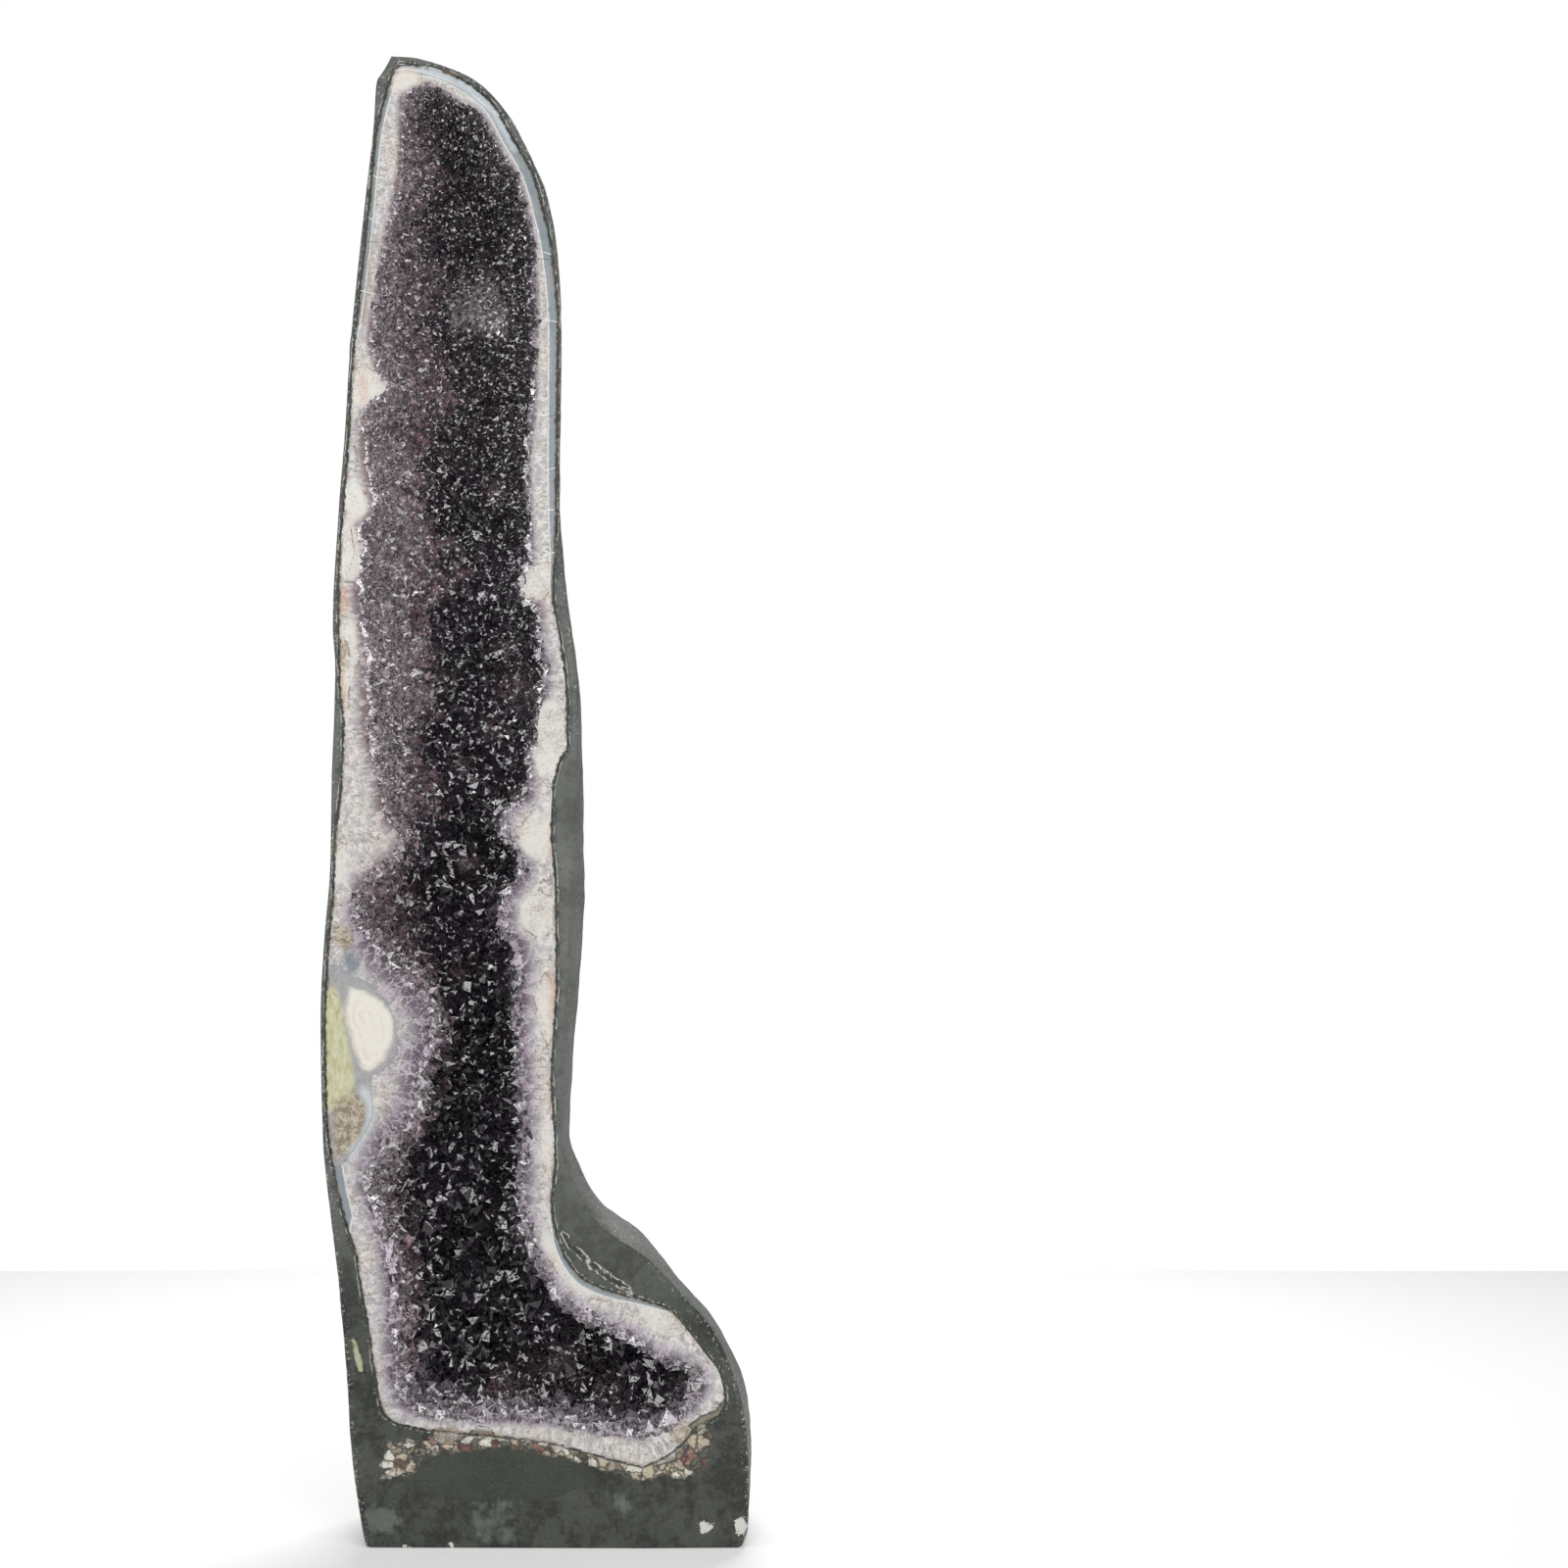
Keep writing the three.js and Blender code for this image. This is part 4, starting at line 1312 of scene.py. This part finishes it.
# %% Layers of the rim
def layered_rim(name, under=None):
    """Milky quartz, and on it one layer after another, each mixed in by its own mask. Sway and shake are
    noise about nothing, broad and fine, that make the borders waver. Under is the colour behind the cut."""
    finish = Finish(name)
    get, step, fall, mix, lay = finish.stored, finish.step, finish.fall, finish.mix, finish.lay
    inner, outer, passed, sawn = get("inner"), get("outer"), get("passed"), get("sawn")
    grain, fine, medium, broad = (finish.noise(size, detail, None, 0.65) for size, detail in
                                  ((0.0008, 2), (0.0020, 4), (0.006, 4), (0.028, 3)))
    sway, shake = medium - 0.5, fine - 0.5
    waver = sway * 8 + shake * 3
    in_crystals = inner / get("coarse")
    rays_at = finish.combined(passed * 3, in_crystals * 0.9 + medium * 2)
    rays = finish.noise(1.0, 4, rays_at, 0.75)
    cells_at = finish.combined(passed * 1.5 + medium * 1.4, in_crystals * 0.8 + fine * 0.6)
    shade = finish.split(finish.cells("F1", cells_at)["Color"])["Red"]
    gap = finish.cells("DISTANCE_TO_EDGE", cells_at)["Distance"]

    finish.tint = QUARTZ_WHITE
    lay(step(medium, 0.40, 0.60) * 0.8, QUARTZ_CLEAR)
    lay(step(broad, 0.42, 0.7) * 0.5, QUARTZ_WARM)
    lay(step(fine * 0.4 + rays * 0.6, 0.49, 0.60) * step(broad, 0.30, 0.52) * 0.8, QUARTZ_GREY)
    lay(step(fine, 0.56, 0.68) * 0.5, LINE_WHITE)
    lay(step(fine * 0.5 + rays * 0.5, 0.50, 0.60) * 0.5, QUARTZ_GREY)
    nearness = fall(inner + waver + (rays - 0.5) * 8, sawn * 0.15, sawn * 1.25)
    deeper = fall(inner + waver, 0, sawn * 0.8)
    pink = get("pink")
    pale_tone, mid_tone, dark_tone = (mix(pink, violet, rose) for violet, rose in (
        (SAWN_PALE, SAWN_PINK), (SAWN_LAVENDER, SAWN_ROSE), (SAWN_VIOLET, SAWN_BROWN)))
    inside = mix((shade * 0.8 + deeper * 0.5 - pink * 0.25).held(), pale_tone, mid_tone)
    darker = step(fine * 0.6 + rays * 0.4 + shade * 0.2 + deeper * 0.1, 0.49, 0.68)
    inside = mix(darker * 0.9, inside, dark_tone)
    outline = fall(gap + shake * 0.2, 0.01, 0.08)
    inside = mix(outline * (0.7 - pink * 0.45), inside, QUARTZ_WHITE)
    inside = mix(step(grain * 0.5 + fine * 0.5, 0.56, 0.62) * 0.7, inside, LINE_WHITE)
    lay(nearness, inside)
    specks = step(finish.noise(0.0030, 4, None, 0.8), 0.55, 0.64)
    specks = specks * (step(broad, 0.4, 0.6) * 0.4 + nearness * 0.6)
    lay(specks * 0.85, SPECK_DARK)

    patch = get("cream") + waver * 1.2
    creamy = mix(step(medium, 0.42, 0.60) * 0.8, PATCH_CREAM, QUARTZ_WHITE)
    creamy = mix(step(fine * 0.5 + broad * 0.5, 0.51, 0.60) * 0.5, creamy, STAIN_TAN)
    creamy = mix(step(fine * 0.6 + medium * 0.4, 0.52, 0.62) * 0.6, creamy, QUARTZ_CLEAR)
    vein = fall(abs(medium * 0.7 + fine * 0.3 - 0.5), 0.004, 0.022)
    creamy = mix(vein * step(broad, 0.4, 0.6) * 0.55, creamy, STAIN_BROWN)
    lay(step(patch, -4.5, 3.5) * 0.85, creamy)
    stain = fall(abs(patch + 0.5), 0.1, 1.0)
    lay(stain * step(broad, 0.48, 0.58) * 0.65, STAIN_BROWN)
    lay(step(get("tan") + waver, -3, 4) * 0.75, STAIN_TAN)

    agate = get("agate") + sway * 3 + shake * 0.8
    lines = finish.math("SINE", outer * 2.1 + broad * 14 + medium * 2) * 0.5 + 0.5
    banded = mix((lines * 0.3 + (broad - 0.35) * 1.6).held(), AGATE_BLUE, AGATE_GREY)
    lay(step(agate, -1.6, 1.4) * 0.92, banded)
    white_line = fall(abs(agate + 0.4), 0.1, 0.7)
    lay(white_line * step(get("agate"), -3, 0) * step(medium, 0.38, 0.5), LINE_WHITE)

    bulge = sway * 7 + shake * 2
    nodule, jasper_in = get("nodule") + bulge * 0.6, get("jasper") + bulge * 1.3
    grey = mix(step(fine * 0.5 + medium * 0.5, 0.44, 0.62) * 0.7, NODULE_GREY, QUARTZ_GREY)
    lay(step(nodule, -0.8, 1.2), grey)
    rings = finish.math("SINE", get("jasper") * 1.1 + broad * 16 + medium * 5) * 0.5 + 0.5
    jasper = mix(rings * rings * step(broad, 0.44, 0.6) * 0.35, JASPER_CREAM, JASPER_PINK)
    jasper = mix(step(fine, 0.52, 0.66) * 0.5, jasper, LINE_WHITE)
    lay(step(jasper_in, -2.0, 3.5), jasper)
    streaky = finish.noise(0.004, 4, finish.vectors("MULTIPLY", finish.place(), (1.0, 1.0, 0.35)), 0.7)
    green = mix(step(streaky, 0.40, 0.68), GREEN_YELLOW, GREEN_OLIVE)
    brown = mix(step(fine * 0.4 + medium * 0.6, 0.42, 0.56), NODULE_TAN, NODULE_BROWN)
    patches = (("green", green, 0.95), ("brown", brown, 0.85), ("pale_band", AGATE_PALE, 0.8),
               ("orange", CREAM_ORANGE, 0.5), ("eye", AGATE_BLUE, 0.85), ("pocket", JASPER_CREAM, 0.8))
    for field, shade_of, strength in patches:
        amount = step(get(field) + waver * 0.9, -3.5, 4.0) * (0.7 + fine * 0.6) * strength
        lay(amount.held(), shade_of)
    dark = get("dark") + waver * 0.6
    knob = mix(step(fine * 0.6 + medium * 0.4, 0.42, 0.58), ROCK_GREEN, NODULE_BROWN)
    lay(step(dark, -0.5, 0.8) * 0.9, knob)
    lay(fall(abs(dark), 0.3, 1.4) * 0.85, ROCK_DARK_AND_SHADOW)
    halo = fall(abs(nodule), 0.1, 1.1)
    lay(halo * 0.5, AGATE_BLUE)

    edge = outer + (grain - 0.5) * 2.2 + sway * 6
    brown_edge = fall(edge, 1.0, 3.6) * step(broad, 0.4, 0.6)
    lay(brown_edge * 0.6, STAIN_BROWN)
    skin = mix(step(fine, 0.5, 0.64), ROCK_DARK_AND_SHADOW, ROCK_GREEN)
    lay(fall(edge, 0.7, 1.5), skin)
    crack = fall(get("crack") + shake * 2.2, 0.05, 0.45)
    x, z = finish.node("ShaderNodeSeparateXYZ", {}, Vector=finish.place())["X"], finish.height()
    for (x0, z0), (x1, z1), shade_of in ACROSS:
        slope = (z1 - z0) / (x1 - x0)
        off = abs(z - x * slope - (z0 - slope * x0) * MM + shake * 0.002)
        there = step(x, (x0 - 1) * MM, x0 * MM) * fall(x, x1 * MM, (x1 + 1) * MM)
        lay(there * fall(off, 0.0002, 0.0007) * 0.7, shade_of)
    lay(crack * 0.8, ROCK_DARK_AND_SHADOW)
    line = fall(get("white_line") + shake * 1.2, 0.15, 0.6)
    lay(line * 0.85, LINE_WHITE)
    if under:
        finish.tint = mix(get("cut"), under(finish), finish.tint)

    polished = step(finish.math("MAXIMUM", patch, finish.math("MAXIMUM", nodule, agate)), -2.0, 0.5)
    relief = (rays * 0.5 + fine + shade * 0.7 - outline) * (nearness * 0.85 + 0.15) * (1 - polished) - crack
    finish.set(Base_Color=finish.tint, Roughness=0.3 + shake * 0.25 + nearness * 0.15, IOR=1.54,
               Normal=finish.bump(relief, 0.0012, 0.6))
    return finish.material


# %% [markdown]
# ## Finish of the mortar
# The mortar is painted olive grey on the sawn front and left greyer on the sides. Chips show white at its
# edges, a few stones of the rim's rubble show through at the foot, and old drips have dried pale.

# %% Colours of the mortar
PAINT_DARK = colour(30, 33, 27)
PAINT_LIGHT = colour(68, 72, 63)
PAINT_GREEN = colour(50, 60, 50)
PAINT_BLACK_AND_SHADE = colour(34, 36, 32)
SIDE_DARK = colour(88, 91, 87)
SIDE_LIGHT = colour(120, 122, 119)
LENS_GREEN = colour(48, 54, 43)
DRIP_PALE = colour(116, 124, 114)
STONE_RED = colour(132, 66, 58)
FLECK_AND_HIGHLIGHT_WHITE = colour(206, 208, 200)
STONES_PER_METRE = 110.0


# %% Painted mortar
def painted_mortar():
    """Two tints of paint by broad noise, then wear at the edges, stones, drips and chips on top, with
    painted shade in the pits and partly in the seam along the rim, and a painted shadow and highlight along
    the scallop.
    """
    finish = Finish("painted_mortar")
    get, step, fall, mix, lay = finish.stored, finish.step, finish.fall, finish.mix, finish.lay
    grain, fine, medium, broad = (finish.noise(size, detail) for size, detail in
                                  ((0.0007, 1), (0.0018, 3), (0.007, 3), (0.05, 3)))
    brushed = finish.noise(0.004, 3, finish.vectors("MULTIPLY", finish.place(), (1.0, 1.0, 0.25)))
    sway, shake = medium - 0.5, fine - 0.5
    front = fall(get("behind"), 0.8, 2.5)

    paint = mix(step(broad * 0.5 + medium * 0.4 + brushed * 0.1, 0.42, 0.58), PAINT_DARK, PAINT_LIGHT)
    side = mix(step(broad * 0.5 + medium * 0.4 + fine * 0.1, 0.38, 0.62), SIDE_DARK, SIDE_LIGHT)
    above_foot = step(finish.height(), 0.16, 0.34)
    finish.tint = mix(front * (1 - above_foot * 0.65), side, paint)
    lay(step(medium, 0.5, 0.72) * 0.35, PAINT_GREEN)

    lens = step(get("lens") + sway * 5, -0.6, 1.0) * front
    lay(lens * 0.7, LENS_GREEN)
    lens_edge = fall(abs(get("lens") + sway * 5), 0.2, 1.0)
    lay(lens_edge * front * 0.45, PAINT_BLACK_AND_SHADE)
    drip = step(get("drip") + sway * 12 + (brushed - 0.5) * 6, -1.5, 5.0) * front
    lay(drip * 0.5, DRIP_PALE)
    streak = step(get("streak") + sway * 6, -0.5, 1.5) * front
    lay(streak * 0.7, GREEN_YELLOW)

    beside_rim = fall(get("rim") + sway * 8, 0.5, 5.0)
    rocky = mix(step(fine, 0.42, 0.6), ROCK_DARK_AND_SHADOW, PAINT_GREEN)
    lay(beside_rim * front * 0.75, rocky)
    rubble = step(get("rubble") + sway * 12, -1.5, 1.5) * front
    jolt = finish.node("ShaderNodeTexNoise", {}, Vector=finish.place(), Scale=STONES_PER_METRE)["Color"]
    warped = finish.vectors("ADD", finish.place(), finish.vectors("MULTIPLY", jolt, (0.013,) * 3))
    stone_kind = finish.split(finish.cells("F1", warped, STONES_PER_METRE)["Color"])
    crumbs = finish.cells("DISTANCE_TO_EDGE", warped, STONES_PER_METRE)["Distance"]
    stones = mix(step(stone_kind["Red"], 0.2, 0.8), ROCK_GREEN, NODULE_TAN)
    stones = mix(step(stone_kind["Green"], 0.72, 0.76), stones, JASPER_CREAM)
    stones = mix(step(stone_kind["Blue"], 0.82, 0.86) * 0.8, stones, STONE_RED)
    stones = mix(step(fine, 0.50, 0.62) * 0.6, stones, NODULE_BROWN)
    stones = mix(step(medium, 0.5, 0.66) * 0.5, stones, PAINT_DARK)
    stones = mix(fall(crumbs, 0.02, 0.14) * 0.8, stones, ROCK_DARK_AND_SHADOW)
    lay(rubble, stones)
    nodule = get("nodule") + sway * 4
    stone = mix(step(medium * 0.6 + fine * 0.4, 0.42, 0.58), NODULE_BROWN, NODULE_GREY)
    lay(step(nodule, -0.4, 0.5) * front, stone)
    nodule_edge = fall(abs(nodule), 0.3, 1.1)
    lay(nodule_edge * front * 0.8, PAINT_BLACK_AND_SHADE)

    worn = fall(get("edge"), 0.0, 8.0)
    flecks = step(finish.noise(0.0030, 3, None, 0.75), 0.58, 0.63)
    lay(flecks * (worn * 0.9 + beside_rim * front * 0.5 + 0.08).held(), FLECK_AND_HIGHLIGHT_WHITE)
    # A dark seam along the rim: partly a dark joint with brown stain, partly painted shadow of the narrow
    # gap.
    seam = fall(get("rim") + shake * 2.4, 0.1, 1.4)
    lay(seam * front * 0.8, mix(step(medium, 0.5, 0.62), PAINT_BLACK_AND_SHADE, STAIN_BROWN))
    pale_seam = fall(abs(get("rim") - 1.9 + sway * 4), 0.1, 0.5)
    lay(pale_seam * front * step(brushed, 0.48, 0.58) * 0.7, FLECK_AND_HIGHLIGHT_WHITE)
    # Along the scallop, the edge of a sunken patch: a painted highlight on its lip and a painted shadow
    # line in the gap.
    scallop = get("scallop") + sway * 4
    lit_edge = fall(abs(scallop - 2.6), 0.1, 0.8) * step(brushed, 0.44, 0.54)
    lay(lit_edge * front * 0.8, FLECK_AND_HIGHLIGHT_WHITE)
    lay(fall(abs(scallop), 1.0, 2.2) * front, ROCK_DARK_AND_SHADOW)
    chip = step(get("chip") + sway * 12 + shake * 6, -0.4, 0.4)
    lay(chip, FLECK_AND_HIGHLIGHT_WHITE)
    lay(step(grain, 0.55, 0.8) * 0.3, PAINT_BLACK_AND_SHADE)
    lay(step(fine, 0.58, 0.8) * 0.2, DRIP_PALE)

    pits = step(finish.noise(0.0030, 2), 0.64, 0.74)
    height = medium * 0.5 + fine * 0.35 + brushed * 0.2 - pits * 0.6 + flecks * worn * 0.3 + rubble * crumbs
    # Painted shade: the pits, sunk by the bump, are also darkened in colour.
    lay(pits * 0.5, PAINT_BLACK_AND_SHADE)
    finish.set(Base_Color=finish.tint, Roughness=0.62 + sway * 0.4,
               Normal=finish.bump(height, 0.0016, 0.7))
    return finish.material


# %% [markdown]
# ## Finish of the crystals
# Amethyst is clear, so light passes into it and comes back from the faces behind. Highlights are also
# painted into the colour: a few faces are painted white as flashes, others stay grey, and a thin glint is
# painted along the edges between faces; the whitest painted flashes also glow by emission. Each face has a
# random number stored on it, and the painted white goes to the highest numbers. Each corner stores marks
# whose smallest part falls to nothing at the face's edges, which gives the painted glint its line.

# %% Amethyst
# White of the painted highlights on the crystals: flashes, edge glints and their glow.
PAINTED_FLASH_WHITE = colour(246, 243, 246)
MILK = colour(234, 226, 230)
# Dark, and mauve on pale crystals, of the painted shade in the gaps between crystals.
GAP_SHADE_DARK = colour(14, 9, 15)
GAP_SHADE_MAUVE = colour(58, 38, 45)


def amethyst_finish():
    """Clear crystal in the tint stored on its points, with a milky haze, dark patches painted as the shade
    in the gaps between crystals, and painted highlights: white faces, glints along the edges and a glow on
    the whitest faces."""
    finish = Finish("amethyst_points")
    step, fall, mix, lay = finish.step, finish.fall, finish.mix, finish.lay
    flash, pale = finish.stored("flash"), finish.stored("pale")
    marks = finish.split(finish.stored("marks", colour=True))
    from_edge = finish.math("MINIMUM", finish.math("MINIMUM", marks["Red"], marks["Green"]), marks["Blue"])
    haze = finish.noise(0.010, 3, None, 0.6)
    cloud = finish.noise(0.0034, 4, None, 0.75)
    finish.tint = finish.stored("tint", colour=True)
    milk = step(haze * 0.7 + cloud * 0.3, 0.46, 0.62)
    lay(milk * (0.06 + pale * 0.8), MILK)
    # Painted shade: dark patches by noise over the faces stand in for the shade in the gaps between
    # crystals.
    gaps = step(cloud * 0.7 + finish.noise(0.0070, 2) * 0.3 + flash * 0.08, 0.48, 0.56)
    lay(gaps * (0.95 - pale * 0.07), mix(pale, GAP_SHADE_DARK, GAP_SHADE_MAUVE))
    # Painted highlight: a thin white glint along the edges of each face, stronger on pale crystals.
    glint = fall(from_edge, 0.03, 0.1)
    lay(glint * (0.12 + pale * 0.5) * step(cloud, 0.35, 0.6), PAINTED_FLASH_WHITE)
    # Painted highlight: the faces with the highest numbers are painted white, broken up by noise.
    broken = step(finish.noise(0.0022, 3, None, 0.7), 0.42, 0.55)
    lay(step(flash, 0.83, 0.90) * broken, PAINTED_FLASH_WHITE)
    # The whitest of these painted highlights also glow by emission, though the crystal is no lamp.
    painted_glow = mix(step(flash, 0.88, 0.94) * broken, (0, 0, 0, 1), PAINTED_FLASH_WHITE)
    finish.set(Base_Color=finish.tint, Roughness=0.07, IOR=1.54, Transmission_Weight=0.45,
               Emission_Color=painted_glow, Emission_Strength=0.3)
    return finish.material


# %% What each face and corner of a crystal stores
TRIANGLE_MARKS = [(1, 0, 0), (0, 1, 0), (0, 0, 1)]
SIDE_MARKS = [(0, 1, 0), (0, 1, 1), (1, 0, 1), (1, 0, 0)]
MARKS = np.array(TRIANGLE_MARKS * 6 + SIDE_MARKS * 6 + [(1, 1, 1)] * 8, float)


def note_faces(piece):
    """A random number for each face, the same on every run, and the marks of each corner."""
    count = len(piece.data.polygons)
    note(piece, "FACE", flash=np.random.default_rng(count).random(count))
    note(piece, "CORNER", marks=np.tile(opaque(MARKS), (count // FACES_EACH, 1)))


# %% The jacket, the rim and the bed
SMOOTH_BELOW = 40
BED_SHADE_FACTOR = 0.5
jacket = new_piece("mortar_jacket", *jacket_skin, painted_mortar(), "painted_mortar", SMOOTH_BELOW)
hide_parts("cement_jacket")
note_mortar(jacket, jacket_skin[0])
rim = new_piece("agate_rim", *rim_skin, layered_rim("sawn_agate"), "agate", SMOOTH_BELOW)
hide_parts("agate_rind")
note_cut(rim, rim_skin[0])
bed_finish = layered_rim("sawn_quartz", lambda finish: finish.stored("tint", colour=True))
bed = new_piece("crust_bed", *bed_skin, bed_finish, "amethyst", SMOOTH_BELOW)
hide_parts("amethyst_crust")
note_cut(bed, bed_skin[0])
# The bed behind the cut takes the crystals' tint at half, a painted shade between the crystals.
note(bed, tint=opaque(tip_colours(bed_skin[0])[0] * BED_SHADE_FACTOR))

# %% The crystals, in storeys
AMETHYST = amethyst_finish()
teeth = new_piece("sawn_teeth", *teeth_skin, AMETHYST, "amethyst")
note(teeth, tint=teeth_tints, pale=teeth_pale)
note_faces(teeth)
STOREYS = [("crown", 1000, 1300), ("upper", 810, 1000), ("middle", 540, 810), ("lower", 0, 540)]
for name, low, high in STOREYS:
    chosen = (roots[:, 2] >= low) & (roots[:, 2] < high)
    number = np.flatnonzero(chosen)
    renumber = np.full(len(roots), -1)
    renumber[number] = np.arange(len(number))
    owner = faces[:, 0] // POINTS_EACH
    mine = chosen[owner]
    local = faces[mine] + POINTS_EACH * (renumber[owner[mine], None] - owner[mine, None])
    own = np.repeat(chosen, POINTS_EACH)
    piece = new_piece(f"points_{name}", points[own], local, keep[mine], AMETHYST, "amethyst")
    note(piece, tint=crystal_tints[own], pale=np.repeat(paleness[number], POINTS_EACH))
    note_faces(piece)


# %% [markdown]
# ## Studio
# The photograph has a white ground and soft light from both sides and above. The camera stands level, 3 m
# in front of the cut. A room would hide the object from behind, so the white comes from the world, which
# is a little brighter to the camera than to the stone.

# %% Camera
camera = bpy.data.objects.new("camera", bpy.data.cameras.new("camera"))
bpy.context.scene.collection.objects.link(camera)
bpy.context.scene.camera = camera
camera.location = VIEW_MIDDLE * MM + [0, FRONT * MM - FAR, 0]
camera.rotation_euler = (math.pi / 2, 0, 0)
camera.data.angle = 2 * math.atan(PHOTO * PIXEL * MM / 2 / FAR)

# %% Floor
SIDE = 3.0
BEHIND = 1.6
FLOOR_GREY = colour(225, 225, 225)
WHITE = (1, 1, 1, 1)
corners = [(-SIDE, -SIDE, 0), (SIDE, -SIDE, 0), (SIDE, BEHIND, 0), (-SIDE, BEHIND, 0)]
floor_mesh = bpy.data.meshes.new("floor")
floor_mesh.from_pydata(corners, [], [(0, 1, 2, 3)])
floor_finish = Finish("pale_floor")
floor_finish.set(Base_Color=FLOOR_GREY, Roughness=0.8, Emission_Color=WHITE, Emission_Strength=0.3)
floor_mesh.materials.append(floor_finish.material)
floor = bpy.data.objects.new("floor", floor_mesh)
bpy.context.scene.collection.objects.link(floor)

# %% Lights
LIGHTS_FACE = (-0.06, 0, 0.6)
SOFTBOXES = [
    ("left_box", (-1.6, -1.9, 1.5), 0.8, 7.8), ("right_box", (1.8, -1.9, 1.0), 0.75, 7.4),
    ("top_box", (0.1, -1.5, 2.5), 0.7, 9), ("front_box", (-0.4, -2.9, 1.0), 0.45, 10),
    ("low_box", (0.5, -2.2, 0.25), 0.45, 8.5), ("back_box", (0.2, 1.5, 2.0), 1.2, 9.5),
]


def softbox(name, place, size, radiance):
    """A square light that faces the hollow's middle. Its power is radiance times area times pi."""
    light = bpy.data.lights.new(name, "AREA")
    light.size = size
    light.energy = radiance * size * size * math.pi
    holder = bpy.data.objects.new(name, light)
    holder.location = place
    aim = Vector(LIGHTS_FACE) - holder.location
    holder.rotation_euler = aim.to_track_quat("-Z", "Y").to_euler()
    bpy.context.scene.collection.objects.link(holder)


for box in SOFTBOXES:
    softbox(*box)

# %% World
WORLD_ON_STONE = 0.18
WORLD_TO_CAMERA = 1.0
world = bpy.data.worlds.new("studio")
bpy.context.scene.world = world
world.use_nodes = True
tree = world.node_tree
ray = tree.nodes.new("ShaderNodeLightPath")
strength = tree.nodes.new("ShaderNodeMapRange")
strength.inputs["To Min"].default_value = WORLD_ON_STONE
strength.inputs["To Max"].default_value = WORLD_TO_CAMERA
tree.nodes["Background"].inputs["Color"].default_value = WHITE
tree.links.new(ray.outputs["Is Camera Ray"], strength.inputs["Value"])
tree.links.new(strength.outputs["Result"], tree.nodes["Background"].inputs["Strength"])
bpy.context.scene.view_settings.view_transform = "Standard"
